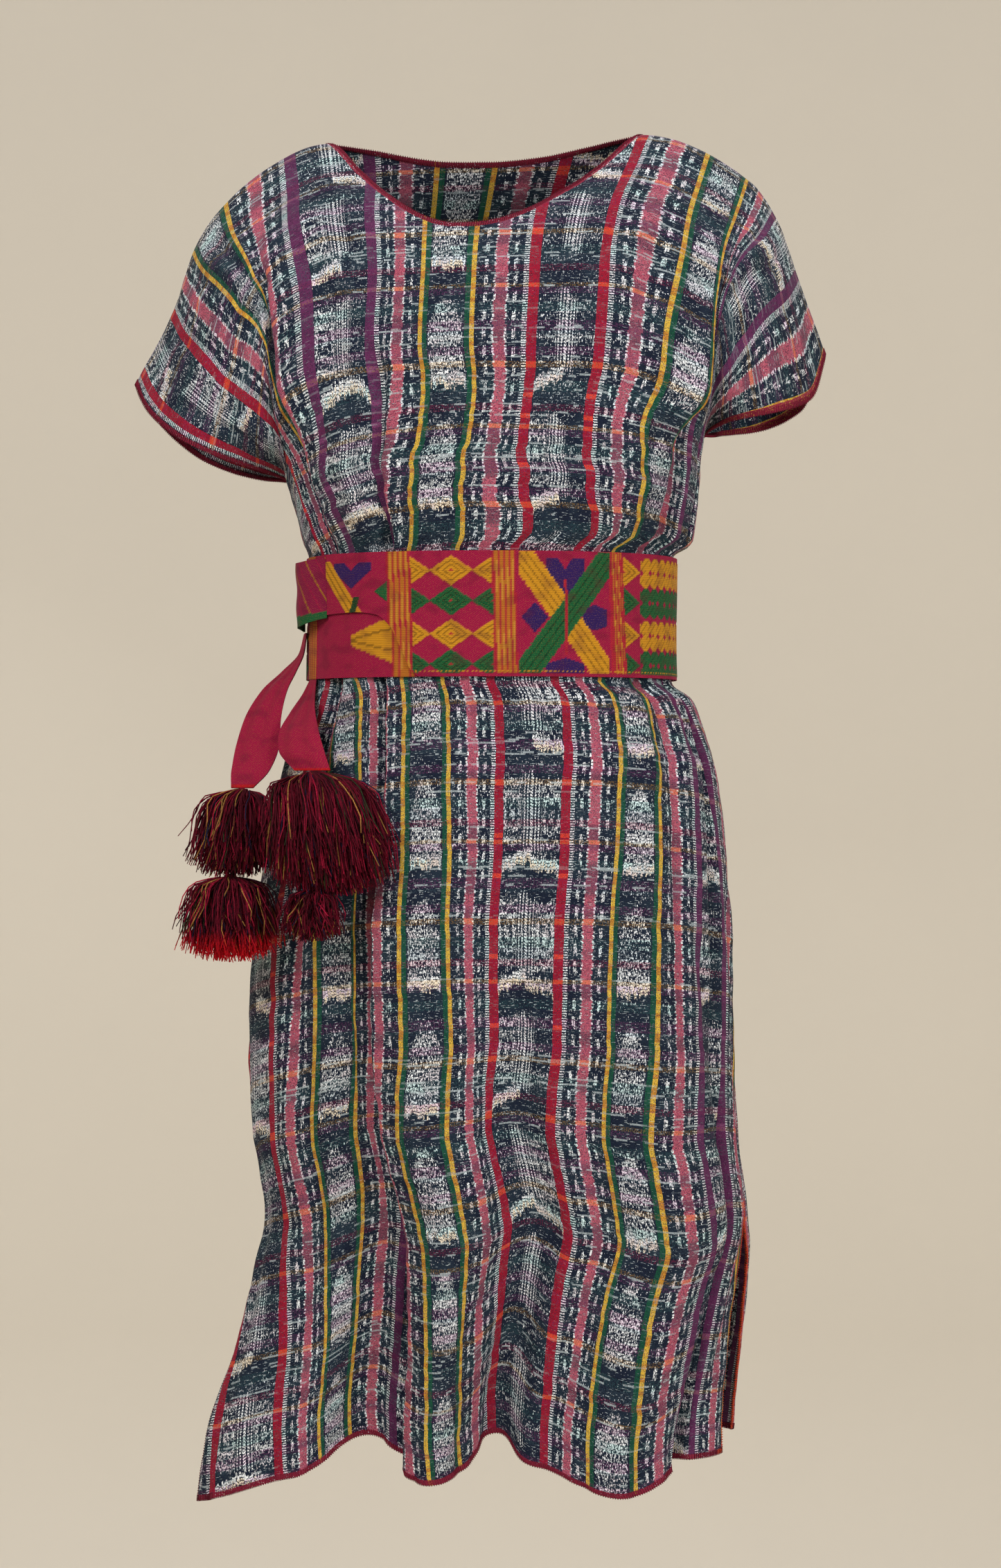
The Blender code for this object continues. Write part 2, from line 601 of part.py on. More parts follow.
def sash_wraps(material):
    under = CLOTH / 2 + SASH_CLEARANCE + SASH / 2
    upper = under + SASH + SASH_LAP_GAP
    turns = np.linspace(0, 2 * math.pi, SASH_COLUMNS, endpoint=False)
    rows = np.linspace(SASH_TOP, SASH_BOTTOM, 3)
    heights, turns = np.meshgrid(rows, turns, indexing="ij")
    wrap_walls("sash_under_wrap", heights, turns, under, material, closed=True)

    turns = np.linspace(UPPER_WRAP_START, UPPER_WRAP_END, UPPER_WRAP_COLUMNS)
    edge = np.array(UPPER_WRAP_EDGE, float) * MM
    across = waist_ring(np.full_like(turns, SASH_TOP), turns, upper)[:, 0]
    bottom = np.where(turns < math.pi, through(edge[:, 0], edge[:, 1], across), SASH_BOTTOM)
    rows = np.linspace(0, 1, 3)[:, None]
    heights = SASH_TOP * (1 - rows) + bottom * rows
    turns = np.broadcast_to(turns, heights.shape)
    wrap_walls("sash_upper_wrap", heights, turns, upper, material)


def sash_turn(material):
    rows = np.array(SASH_TURN, float)
    turns = rows[:, 0]
    out, top, bottom = rows[:, 1:].T * MM
    down = np.linspace(0, 1, 3)[:, None]
    heights = top * (1 - down) + bottom * down
    turns = np.broadcast_to(turns, heights.shape)
    middle = waist_ring(heights, turns, out)
    along = np.gradient(middle, axis=1)
    along /= np.linalg.norm(along, axis=2, keepdims=True)
    normals = np.stack([along[..., 1], -along[..., 0], np.zeros_like(out + heights)], axis=-1)
    outer = middle + normals * SASH / 2
    inner = middle - normals * SASH / 2
    return solid_from_walls("sash_turn", outer, inner, material)


def sash_tail(name, table, material):
    """A hanging end of the sash, from a row of sizes at each height."""
    height, x, y, half, heading, bow = np.array(table, float).T
    share = np.array(TAIL_SHARES, float)
    angle = np.radians(heading)[:, None]
    across = np.stack([np.cos(angle), np.sin(angle), np.zeros_like(angle)], axis=-1)
    facing = np.stack([np.sin(angle), -np.cos(angle), np.zeros_like(angle)], axis=-1)
    middle = np.stack([x, y, height], axis=-1)[:, None, :]
    reach = (half[:, None] * share[None, :])[..., None]
    bulge = (bow[:, None] * (1 - share[None, :] ** 2))[..., None]
    middle = (middle + across * reach + facing * bulge) * MM
    normals = grid_normals(middle)
    normals *= -np.sign(normals[-1, len(share) // 2, 1])
    outer = middle + normals * SASH / 2
    inner = middle - normals * SASH / 2
    return solid_from_walls(name, outer, inner, material)


def lock_path(way, axis, sizes):
    """Three points along one lock, which leaves the head and then hangs."""
    polar = math.acos(max(-1.0, min(1.0, way.dot(axis))))
    share = polar / math.acos(-HEAD_CAP)
    flat = (way - axis * way.dot(axis)).normalized()
    spread = Vector((flat.x * sizes["across"], flat.y * sizes["depth"], 0))
    spread *= share ** LOCK_SPREAD_POWER
    uneven = 1 + LOCK_UNEVEN * math.sin(UNEVEN_TURNS.dot(way))
    length = sizes["length"] * uneven
    sway = Vector((sizes["sway_x"], sizes["sway_y"], 0))
    tip = spread + sway + Vector((0, 0, -length * (1 - LOCK_DROOP * share ** 2)))
    knee = KNEE_SPREAD * spread + KNEE_DROP * sway
    knee.z = KNEE_LIFT * way.z * sizes["head"] - KNEE_DROP * length * (1 - KNEE_RISE * share)
    return [way * sizes["head"] * LOCK_ROOT, knee, tip]


def tassel(name, top, material):
    """A head whose lower faces each grow a three sided lock. Returns the lowest tip."""
    sizes = {key: size * MM for key, size in zip(TASSEL_COLUMNS, TASSELS[name])}
    axis = Vector((sizes["sway_x"], sizes["sway_y"], -sizes["length"])).normalized()
    form = bmesh.new()
    bmesh.ops.create_icosphere(form, subdivisions=2, radius=sizes["head"])
    lowest = None
    for face in list(form.faces):
        way = face.calc_center_median().normalized()
        if max(way.z, -way.dot(axis)) > HEAD_CAP:
            continue
        spokes = [(corner.co - way * corner.co.dot(way)).normalized() for corner in face.verts]
        path = lock_path(way, axis, sizes)
        before = way * sizes["head"]
        for i, (point, radius) in enumerate(zip(path, LOCK_RADII)):
            after = path[min(i + 1, len(path) - 1)]
            turn = way.rotation_difference((after - before).normalized())
            face = bmesh.ops.extrude_discrete_faces(form, faces=[face])["faces"][0]
            for corner, spoke in zip(face.verts, spokes):
                corner.co = point + turn @ spoke * radius * sizes["lock"]
            before = point
        low = min(face.verts, key=lambda corner: corner.co.z).co
        if lowest is None or low.z < lowest.z:
            lowest = low.copy()
    centre = top - Vector((0, 0, sizes["head"]))
    bmesh.ops.translate(form, verts=form.verts, vec=centre)
    mesh = bpy.data.meshes.new(name)
    form.to_mesh(mesh)
    form.free()
    finish_solid(name, mesh, material)
    return centre + lowest


def tassel_pair(name, tail, material):
    """The tassel at a tail's end, and the lower one hung from its lowest lock."""
    height, x, y = (size * MM for size in tail[-1][:3])
    gap = Vector((0, 0, SEAM_GAP))
    top = tassel(name, Vector((x, y, height)) - gap, material)
    tassel(name + "_lower", top - gap, material)


def main():
    for old in list(bpy.data.objects):
        bpy.data.objects.remove(old, do_unlink=True)
    cloth = cloth_material("handwoven_cotton", (0.055, 0.07, 0.10), 0.85)
    cloth_back = cloth_material("handwoven_cotton_back", (0.05, 0.065, 0.09), 0.85)
    dress_panel("dress_front", "front", FRONT_PLEATS, FRONT_WAVES,
                FRONT_LINES_ACROSS, FRONT_LINES_DOWN, cloth)
    dress_panel("dress_back", "back", BACK_PLEATS, BACK_WAVES,
                BACK_LINES_ACROSS, BACK_LINES_DOWN, cloth_back)
    brocade = cloth_material("brocaded_sash", (0.42, 0.03, 0.09), 0.75)
    sash_wraps(brocade)
    sash_turn(brocade)
    sash_tail("tail_left", TAIL_LEFT, brocade)
    sash_tail("tail_front", TAIL_FRONT, brocade)
    yarn = cloth_material("tassel_yarn", (0.10, 0.012, 0.03), 0.9)
    tassel_pair("tassel_left", TAIL_LEFT, yarn)
    tassel_pair("tassel_front", TAIL_FRONT, yarn)


main()
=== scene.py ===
"""Looks of the handwoven dress: ikat cloth, overlocked edges, brocaded sash and yarn tassels.

Units are metres and +Z is up. The wearer faces -Y. Along the cloth, u runs across the loom
width from a stripe centre, and v runs down from the shoulder fold, below zero on the back.
"""

import math

import bpy
import numpy as np
from bpy.props import FloatProperty, FloatVectorProperty, IntProperty, PointerProperty
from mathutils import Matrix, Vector


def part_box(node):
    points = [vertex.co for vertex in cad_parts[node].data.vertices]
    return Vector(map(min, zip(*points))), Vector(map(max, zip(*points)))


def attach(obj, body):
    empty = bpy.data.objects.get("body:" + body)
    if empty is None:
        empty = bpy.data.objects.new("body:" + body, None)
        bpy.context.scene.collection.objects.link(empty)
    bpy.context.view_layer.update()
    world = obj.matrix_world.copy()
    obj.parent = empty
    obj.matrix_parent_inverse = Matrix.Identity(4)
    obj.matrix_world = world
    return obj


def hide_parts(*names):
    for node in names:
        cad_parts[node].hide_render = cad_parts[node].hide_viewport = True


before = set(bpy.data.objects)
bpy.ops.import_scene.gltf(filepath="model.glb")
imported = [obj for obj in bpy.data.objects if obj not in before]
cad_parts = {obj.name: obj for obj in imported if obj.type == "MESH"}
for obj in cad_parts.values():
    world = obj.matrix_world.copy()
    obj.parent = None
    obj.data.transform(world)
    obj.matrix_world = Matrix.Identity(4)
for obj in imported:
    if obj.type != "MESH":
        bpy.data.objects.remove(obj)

bl_info = {
    "name": "Handwoven dress looks",
    "version": (1, 0, 0),
    "blender": (4, 5, 0),
    "location": "3D View > Sidebar > Dress",
    "description": "Dresses the packed handwoven dress in ikat cloth, brocade and yarn",
    "category": "Object",
}

MM = 0.001
TINY = 1e-12
SEED = 11
# The way out of each panel along Y
OUT = {"front": -1, "back": 1}

# Dress cloth, as cut
PANEL_LEFT = -0.296
PANEL_RIGHT = 0.328
PANEL_LENGTH = 0.985
ARMHOLE_DEPTH = 0.200
SLIT_TOP = 0.790
NECK_LEFT = -0.085
NECK_RIGHT = 0.106
NECK_ROUNDNESS = 2.3
NECK_DEPTH = {"front": 0.108, "back": 0.030}
NECK_FADE = 0.20
CLOTH_SOLID = 0.0016

# Sash, wound twice round the waist
SASH_TOP = -0.3045
SASH_BOTTOM = -0.3915
SASH_SOLID = 0.0016
SASH_CLEARANCE = 0.0005
SASH_LAP_GAP = 0.0005
SASH_MIDDLE = -0.348
UNDER_WRAP_START = -0.9
# Cut of the wraps and of the turned end, in metres
UPPER_WRAP_START = 0.555
UPPER_WRAP_END = 3.75
UPPER_WRAP_EDGE = (
    (-130, -348), (-90, -346), (-76, -348), (-66, -356), (-58, -372), (-50, -388),
    (-44, -391.5), (200, -391.5))

# The turned over end of the sash: turn, out, top, bottom
SASH_TURN = (
    (0.550, 4.3, -306, -349), (0.500, 7.5, -307, -350), (0.430, 12.0, -308, -352),
    (0.340, 14.0, -309, -354), (0.250, 12.5, -309, -355), (0.170, 8.0, -308, -356),
    (0.100, 5.0, -307, -357))

# Hanging ends: height, x, y, half width, heading and bow
TAIL_LEFT = (
    (-358, -128.5, -14, 9, -82, 0), (-372, -130.5, -17, 9.5, -78, 0.5),
    (-386, -139.0, -24, 10, -58, 1.5), (-400, -149.0, -34, 11.5, -37, 2.5),
    (-420, -156.5, -48, 14, -22, 3), (-440, -159.5, -61, 16, -16, 3),
    (-456, -163.5, -72, 14, -14, 2), (-468.7, -169.0, -80, 8, -12, 0))
TAIL_FRONT = (
    (-392.2, -121.9, -34.3, 7, -68, 0.3), (-402, -123.5, -44, 9, -60, 0.5),
    (-416, -127.0, -61, 13, -46, 1.5), (-430, -129.0, -76, 17, -34, 3),
    (-443, -127.0, -86, 18, -27, 3.5), (-456.7, -119.0, -95, 14, -24, 1))

# Tassels, in millimetres
TASSEL_COLUMNS = ("head", "across", "depth", "length", "sway_x", "sway_y")
TASSELS = {
    "tassel_left": (7, 30, 21, 50, -6, -16),
    "tassel_left_lower": (7, 34, 20, 48, 0, -6),
    "tassel_front": (7.5, 44, 20, 70, 14, -30),
    "tassel_front_lower": (5, 21, 15, 29, 0, -4),
}
HEAD_CAP = 0.62
LOCK_DROOP = 0.22
# The wound head: rings of yarn on a core a little smaller than the solid's head
HEAD_TURNS, HEAD_STEPS = 9, 26
HEAD_ROUND, HEAD_YARN = 0.93, 0.17
# Strands are thin at the root and at the tip
STRAND_TAPER = (0.45, 0.7, 0.75, 0.75, 0.7, 0.7, 0.65, 0.5)
# The lower left tassel ends in bright red: where that begins and is full, above its foot
RED_TIPS = (0.015, 0.008)

# Yoke guide lines, in millimetres, at six distances down the cloth
GUIDE_DROPS = (0, 50, 100, 150, 200, 250)
YOKE_GUIDES = {
    "left edge": ((-251.5, 0, -177.5), (-238, -40, -202.5), (-206, -68, -228),
                  (-167, -50, -242), (-140, -1.5, -249), (-139, 0, -278)),
    "left outer sleeve": ((-224.5, 0, -126), (-214, -45, -148), (-189, -75, -177),
                          (-163, -78, -212), (-141, -52, -238), (-140, -36, -272)),
    "left inner sleeve": ((-205, 0, -72.5), (-195, -45, -92), (-172, -80, -120),
                          (-155, -84, -163), (-147, -70, -208), (-143, -52, -250)),
    "left fold": ((-158.5, 0, -23.5), (-156, -38, -56), (-151, -72, -92),
                  (-147, -88, -138), (-144, -88, -187), (-140, -80, -236)),
    "left neck": ((-114.5, 0, -4.5), (-111, -39, -35), (-108, -74, -71),
                  (-102, -92, -117), (-100, -98, -166), (-99, -96, -215)),
    "centre": ((0, 0, 0), (-5, -42, -30), (-12, -78, -68),
               (-16, -102, -114), (-17, -113, -163), (-17, -114, -212)),
    "right neck": ((114, 0, 2), (104, -40, -28), (92, -76, -66),
                   (81, -98, -112), (75, -108, -162), (73, -108, -211)),
    "right fold": ((190, 0, -31), (180, -40, -60), (168, -70, -96),
                   (161, -84, -140), (158, -86, -189), (154, -82, -238)),
    "right inner sleeve": ((211, 0, -61), (200, -46, -80), (178, -78, -106),
                           (165, -82, -145), (158, -68, -194), (154, -48, -232)),
    "right outer sleeve": ((225, 0, -100), (214, -46, -118), (190, -74, -146),
                           (170, -74, -180), (157, -48, -207), (153, -30, -243)),
    "right edge": ((245, 0, -155), (232, -38, -192), (203, -64, -205),
                   (172, -50, -210), (157, -1.5, -216), (153, 0, -250)),
}
GUIDE_PLACES = {
    "left edge": -296, "left outer sleeve": 0.37, "left inner sleeve": 0.68,
    "left fold": -125, "left neck": -85, "centre": 10, "right neck": 106,
    "right fold": 192, "right inner sleeve": 0.35, "right outer sleeve": 0.68,
    "right edge": 328,
}
BACK_YOKE_DEPTH = 0.92
FOLD_DROP, FOLD_OUT, FOLD_SHARE = 0.013, 0.0125, 0.09

# Height of each line across the cloth: drop, middle, left and right, in millimetres
HANG = (
    (100, -70, -228, -205), (150, -118, -242, -210), (200, -166, -249, -216),
    (250, -214, -278, -252), (300, -262, -310, -290), (345, -306, -345, -330),
    (430, -390, -425, -413), (600, -558, -592, -580), (800, -757, -790, -775),
    (985, -938, -966, -936))
HANG_POWER = 2.4

# Sections through the worn dress at a height, in millimetres
SECTION_COLUMNS = ("height", "front_left", "front_right", "front_depth", "front_end",
                   "back_left", "back_right", "back_depth", "back_end", "power")
SECTIONS = (
    (-980, -195, 166, 106, 64, -162, 176, 108, 26, 2.0),
    (-915, -188, 167, 106, 54, -157, 181, 110, 22, 2.05),
    (-856, -170, 172, 108, 36, -152, 186, 112, 14, 2.15),
    (-810, -160, 180, 110, 17, -151, 189, 113, 6, 2.2),
    (-772, -153, 186, 112, 0, -153, 186, 114, 0, 2.3),
    (-710, -163, 180, 118, 0, -163, 180, 120, 0, 2.25),
    (-650, -167, 178, 120, 0, -167, 178, 124, 0, 2.2),
    (-585, -165, 177, 119, 0, -165, 177, 126, 0, 2.2),
    (-525, -158, 174, 116, 0, -158, 174, 122, 0, 2.2),
    (-456, -145, 166, 110, 0, -145, 166, 112, 0, 2.2),
    (-430, -138, 158, 106, 0, -138, 158, 106, 0, 2.2),
    (-405, -130, 148, 101, 0, -130, 148, 99, 0, 2.2),
    (-394, -126, 134, 97, 0, -126, 134, 92, 0, 2.2),
    (-350, -125, 133, 97, 0, -125, 133, 92, 0, 2.2),
    (-303, -126, 134, 99, 0, -126, 134, 93, 0, 2.2),
    (-292, -130, 149, 105, 0, -130, 149, 99, 0, 2.3),
    (-270, -135, 152, 109, 0, -135, 152, 104, 0, 2.6),
    (-240, -141, 154, 112, 0, -141, 154, 106, 0, 3.0),
    (-160, -146, 158, 112, 0, -146, 158, 106, 0, 3.2),
)

# Pleats swallow cloth: rows of drop, centre, swallowed width and depth, in millimetres
PLEATS = {
    "front": {
        "left sleeve tuck": {"opening": 30, "lean": 0.1, "rows": (
            (60, -130, 4, 0), (100, -138, 24, 2), (150, -155, 58, 5), (200, -164, 80, 8),
            (270, -184, 112, 11), (345, -184, 120, 12), (445, -205, 52, 9),
            (600, -205, 20, 4), (720, -205, 16, 0))},
        "waist pleat": {"opening": 22, "lean": 0.9, "rows": (
            (180, -56, 8, 0), (250, -60, 34, 6), (345, -62, 64, 10), (445, -96, 118, 18),
            (700, -95, 108, 21), (985, -80, 84, 20))},
        "right sleeve tuck": {"opening": 28, "lean": -0.1, "rows": (
            (60, 197, 4, 0), (100, 203, 22, 2), (150, 214, 46, 4), (200, 222, 62, 7),
            (270, 205, 56, 9), (345, 202, 60, 10), (445, 205, 38, 7),
            (600, 205, 20, 4), (720, 205, 16, 0))},
        "right seam tuck": {"opening": 21, "lean": -0.2, "rows": (
            (215, 275, 14, 0), (270, 276, 46, 12), (345, 276, 54, 13), (445, 268, 50, 13),
            (600, 258, 34, 8), (985, 258, 56, 13))},
    },
    "back": {
        "left sleeve tuck": {"opening": 30, "lean": 0.1, "rows": (
            (60, -130, 4, 0), (100, -138, 24, 2), (150, -155, 58, 5), (200, -164, 80, 8),
            (270, -188, 100, 11), (345, -190, 88, 12), (445, -195, 66, 10),
            (700, -195, 30, 8), (985, -195, 30, 8))},
        "back left pleat": {"opening": 23, "lean": -0.3, "rows": (
            (200, -72, 8, 0), (345, -75, 56, 15), (445, -78, 66, 18), (985, -84, 62, 18))},
        "back right pleat": {"opening": 23, "lean": 0.3, "rows": (
            (200, 92, 8, 0), (345, 92, 56, 15), (445, 96, 66, 18), (985, 104, 62, 18))},
        "right sleeve tuck": {"opening": 28, "lean": -0.1, "rows": (
            (60, 197, 4, 0), (100, 203, 22, 2), (150, 214, 46, 4), (200, 222, 62, 7),
            (270, 232, 90, 10), (345, 232, 82, 11), (445, 234, 62, 9),
            (700, 234, 28, 7), (985, 234, 30, 8))},
    },
}

# Soft waves stand out from the cloth: centre, half width, rows of drop and height, and the
# lift that they give the hem, in millimetres
WAVES = {
    "front": {
        "left lobe": (-280, 72, ((430, 0), (600, 3), (985, 8)), -5),
        "left valley": (-142, 66, ((430, 0), (600, -6), (985, -24)), 21),
        "centre lobe": (-10, 46, ((430, 0), (600, 6), (985, 24)), -7),
        "centre valley": (66, 44, ((430, 0), (600, -6), (985, -24)), 20),
        "right lobe": (182, 78, ((430, 0), (600, 5), (985, 18)), -20),
        "left tension fold": (-98, 26, ((200, 0), (290, 4), (332, 0)), 0),
        "right tension fold": (150, 26, ((180, 0), (290, 5), (332, 0)), 0),
    },
    "back": {
        "left lobe": (-245, 56, ((430, 0), (600, 5), (985, 16)), -6),
        "left valley": (-140, 46, ((430, 0), (600, -4), (985, -16)), 14),
        "centre lobe": (10, 66, ((430, 0), (600, 6), (985, 20)), -8),
        "right valley": (160, 48, ((430, 0), (600, -4), (985, -16)), 15),
        "right lobe": (280, 50, ((430, 0), (600, 4), (985, 12)), -5),
    },
}
EDGE_CALM = 0.030
LIFT_START = 0.620
FINE_ACROSS = np.linspace(PANEL_LEFT, PANEL_RIGHT, 313)
FINE_DOWN = np.linspace(0, PANEL_LENGTH, 395)
BODY_BLEND = 0.060
SEAM_SOFTNESS = 0.35
LEAST_SHARE = 0.2
SHELL_COLUMNS, SHELL_ROWS = 186, 236

# Fine creases on the cloth, in millimetres: u and v of both ends, half width and depth
CREASES = {
    "front": (
        # Short crinkles across the chest
        (-66, 118, -20, 123, 4.5, 0.9), (-8, 127, 44, 121, 4, 0.8), (22, 138, 78, 132, 4.5, 0.9),
        (-80, 139, -34, 146, 4, 0.8), (-28, 149, 30, 152, 5, 0.9), (40, 158, 96, 149, 4.5, 0.9),
        (-92, 162, -42, 170, 5, 0.8), (-14, 171, 42, 175, 5, 0.7), (62, 182, 108, 171, 5, 0.8),
        (-60, 190, -12, 196, 6, 0.7), (20, 201, 80, 194, 6, 0.8),
        # Pulls from the shoulders down to the waist
        (-108, 46, -66, 150, 9, 1.8), (-112, 96, -84, 236, 8, 2.0), (-92, 150, -40, 300, 8, 1.3),
        (124, 52, 92, 160, 9, 1.8), (140, 100, 110, 236, 9, 2.0), (118, 170, 60, 312, 8, 1.4),
        (168, 120, 150, 250, 9, 1.8), (-118, 200, -104, 316, 7, 1.6),
        (172, 210, 128, 322, 7, 1.5),
        # Gathers above the sash
        (-46, 292, -40, 345, 5.5, 1.6), (-28, 272, -26, 346, 6, 1.3), (-9, 300, -10, 347, 5, 1.4),
        (10, 262, 9, 346, 6, 1.0), (29, 288, 30, 347, 5, 1.5), (50, 304, 51, 348, 5, 1.3),
        (71, 270, 69, 347, 6, 1.4), (92, 296, 90, 348, 5.5, 1.6), (112, 284, 116, 348, 5, 1.3),
        (136, 276, 140, 348, 6, 1.6), (160, 292, 160, 348, 5.5, 1.4),
        (-86, 280, -92, 346, 6, 1.5), (-112, 296, -116, 346, 5.5, 1.3),
        (236, 280, 240, 346, 6, 1.2),
        # Gathers below the sash
        (-34, 434, -32, 500, 6, 1.8), (-14, 434, -16, 476, 5, 1.4), (6, 434, 4, 540, 7, 1.6),
        (28, 434, 30, 488, 5.5, 1.6), (48, 434, 46, 520, 6.5, 1.8), (68, 434, 71, 478, 5, 1.4),
        (90, 434, 92, 556, 7, 1.9), (114, 434, 112, 496, 5.5, 1.6), (136, 434, 140, 530, 7, 1.8),
        (160, 434, 162, 500, 6, 1.6), (184, 434, 188, 560, 8, 1.9), (232, 434, 236, 512, 7, 1.6),
        (-150, 436, -146, 530, 8, 2.0), (-176, 436, -180, 486, 6, 1.5),
        (-232, 436, -236, 540, 8, 1.8), (-262, 436, -260, 496, 6, 1.3),
        # Long soft folds of the skirt
        (-206, 560, -214, 900, 16, 3.0), (-120, 600, -116, 960, 15, 2.4),
        (26, 560, 30, 900, 17, 2.6), (104, 640, 112, 980, 16, 2.4), (150, 540, 142, 860, 15, 2.4),
        (226, 600, 236, 985, 14, 2.6), (292, 560, 298, 940, 12, 2.2),
        (-276, 640, -282, 985, 9, 1.8),
        # Slack across the skirt
        (-250, 640, -180, 664, 9, 0.9), (-30, 700, 60, 716, 10, 0.8),
        (120, 620, 210, 600, 9, 0.9), (-20, 566, 50, 574, 8, 0.8), (160, 760, 250, 742, 10, 0.9),
        (-260, 800, -190, 816, 9, 0.8),
        # Ripples of the hem
        (-262, 930, -264, 985, 8, 1.8), (-226, 944, -226, 985, 7, 1.6),
        (-196, 920, -192, 985, 8, 2.0), (-24, 940, -24, 985, 7, 1.6), (18, 950, 20, 985, 7, 1.4),
        (52, 930, 54, 985, 8, 1.8), (150, 946, 150, 985, 7, 1.6), (190, 936, 192, 985, 8, 1.7),
        (224, 950, 224, 985, 6, 1.3),
        # Sleeves
        (-176, 20, -166, 120, 9, 2.2), (-208, 24, -184, 150, 8, 1.8),
        (-246, 30, -214, 168, 8, 1.5), (-262, 100, -226, 190, 7, 1.4),
        (-282, 60, -262, 180, 6, 1.0), (-150, 60, -138, 176, 7, 1.6), (226, 20, 220, 120, 9, 2.0),
        (262, 26, 240, 150, 8, 1.8), (292, 40, 266, 160, 7, 1.6), (306, 90, 282, 192, 6, 1.2),
        (204, 60, 200, 180, 7, 1.4),
    ),
    "back": (
        # Hang of the upper back
        (-60, 60, -24, 190, 10, 1.6), (72, 60, 40, 200, 10, 1.6), (-104, 70, -70, 250, 9, 2.0),
        (128, 80, 96, 250, 9, 2.0), (4, 90, 8, 210, 9, 1.0), (-40, 110, 30, 118, 6, 0.8),
        (-10, 160, 70, 154, 6, 0.8), (-80, 190, -10, 200, 6, 0.7),
        # Gathers above the sash
        (-44, 284, -46, 346, 6, 1.6), (-22, 296, -20, 347, 5, 1.4), (2, 270, 0, 346, 6.5, 1.5),
        (24, 298, 26, 347, 5, 1.3), (46, 280, 44, 347, 6, 1.6), (68, 300, 70, 348, 5, 1.3),
        (124, 286, 126, 348, 6, 1.5), (150, 296, 150, 348, 5.5, 1.4),
        (-108, 288, -112, 346, 6, 1.5), (-132, 300, -134, 346, 5, 1.2),
        (182, 290, 184, 348, 6, 1.4), (272, 292, 274, 346, 5, 1.2),
        # Gathers below the sash
        (-40, 434, -42, 520, 7, 1.9), (-18, 434, -16, 484, 5.5, 1.5), (4, 434, 2, 546, 7, 1.8),
        (26, 434, 29, 490, 5.5, 1.5), (48, 434, 46, 530, 7, 1.8), (66, 434, 66, 478, 5, 1.3),
        (140, 434, 142, 540, 7, 1.8), (166, 434, 162, 492, 6, 1.5), (190, 434, 196, 560, 8, 1.9),
        (-120, 436, -124, 540, 8, 1.9), (-146, 436, -144, 490, 6, 1.4),
        (-240, 436, -244, 530, 8, 1.7), (276, 436, 280, 530, 7, 1.6),
        # Long soft folds of the skirt
        (-222, 560, -230, 930, 15, 2.6), (-168, 620, -160, 985, 14, 2.2),
        (-20, 600, -26, 960, 17, 2.6), (52, 640, 58, 985, 15, 2.2), (142, 560, 136, 900, 15, 2.4),
        (196, 640, 204, 985, 14, 2.4), (266, 580, 260, 940, 12, 2.2),
        # Slack across the skirt
        (-130, 640, -40, 656, 10, 0.9), (20, 720, 100, 706, 10, 0.8),
        (150, 610, 230, 622, 9, 0.9), (-250, 760, -180, 744, 9, 0.8),
        # Ripples of the hem
        (-256, 930, -258, 985, 8, 1.7), (-206, 940, -206, 985, 7, 1.6),
        (-40, 946, -40, 985, 7, 1.5), (24, 936, 26, 985, 8, 1.8), (80, 950, 80, 985, 7, 1.4),
        (176, 940, 178, 985, 8, 1.7), (240, 950, 240, 985, 6, 1.4),
        # Sleeves
        (-176, 20, -168, 120, 9, 2.2), (-210, 24, -188, 150, 8, 1.8),
        (-248, 30, -218, 168, 8, 1.4), (-268, 90, -232, 190, 7, 1.3), (226, 20, 222, 120, 9, 2.0),
        (264, 26, 242, 150, 8, 1.8), (296, 44, 268, 166, 7, 1.4),
    ),
}
# Small unevenness of handwoven cloth: wave lengths across and down, and height
UNEVEN = ((61, 83, 0.30), (37, 47, 0.22), (23, 71, 0.16), (91, 29, 0.20), (17, 19, 0.10))
UNEVEN_TURN, UNEVEN_STEP = 1.3, 1.7
# Creases bow a little, fade at their ends and push up a low ridge on each side
CREASE_BOW, CREASE_FADE, LONGEST_FADE = 0.05, 0.4, 30
RIDGE_HEIGHT, RIDGE_PLACE = 0.45, 1.5
# Gathers are sharp at the sash and fade away from it: drops of its edges, and of the hem
SASH_UPPER_EDGE, SASH_LOWER_EDGE, HEM_EDGE = (344, 350), (431, 440), 980
GATHER_FADE = 0.7

# Repeat of the stripes, in millimetres: B figures sit on its centre and A figures at its ends
REPEAT = 172
# The stripes lie up to 22 mm aside of a straight fall, as the cloth is pulled: how far at each
# place across the front, for rows down it, in millimetres
DRIFT_PLACES = (-296, -209, -154, -112, -60, -18, 18, 60, 112, 154, 209, 328)
DRIFT = (
    (0, 0, 0, 0, -4, -2, 0, 0, 2, 4, 0, 0, 0),
    (100, 0, 0, 0, -7, -3, 0, 0, 3, 8, 0, 0, 0),
    (200, 0, 0, -5, -12, 3, 3, -1, -2, 1, 8, 0, 0),
    (275, 0, 0, 0, 0, 6, -2, -3, 1, 5, 4, 0, 0),
    (345, 0, 0, 0, 0, 8, 1, -3, -7, -9, 2, -2, 0),
    (443, -6, -6, 5, 5, 6, 5, 5, 5, 0, 0, 0, 0),
    (665, -6, -8, -11, -8, -6, -3, -3, 5, 7, 11, 7, 4),
    (765, 2, 1, 2, 4, 6, 8, 8, 18, 17, 22, 18, 10),
    (860, -6, -5, 11, 8, 4, 3, 10, 12, 11, 17, 11, 6),
    (985, -7, -15, 2, -2, -6, -9, -6, -3, -5, 0, -5, 0))
# Height of one ikat figure, and where the first one starts down the cloth
FIGURE = 84
FIGURE_START = 246
YARN_PITCH, PICK_PITCH = 0.9, 2.2
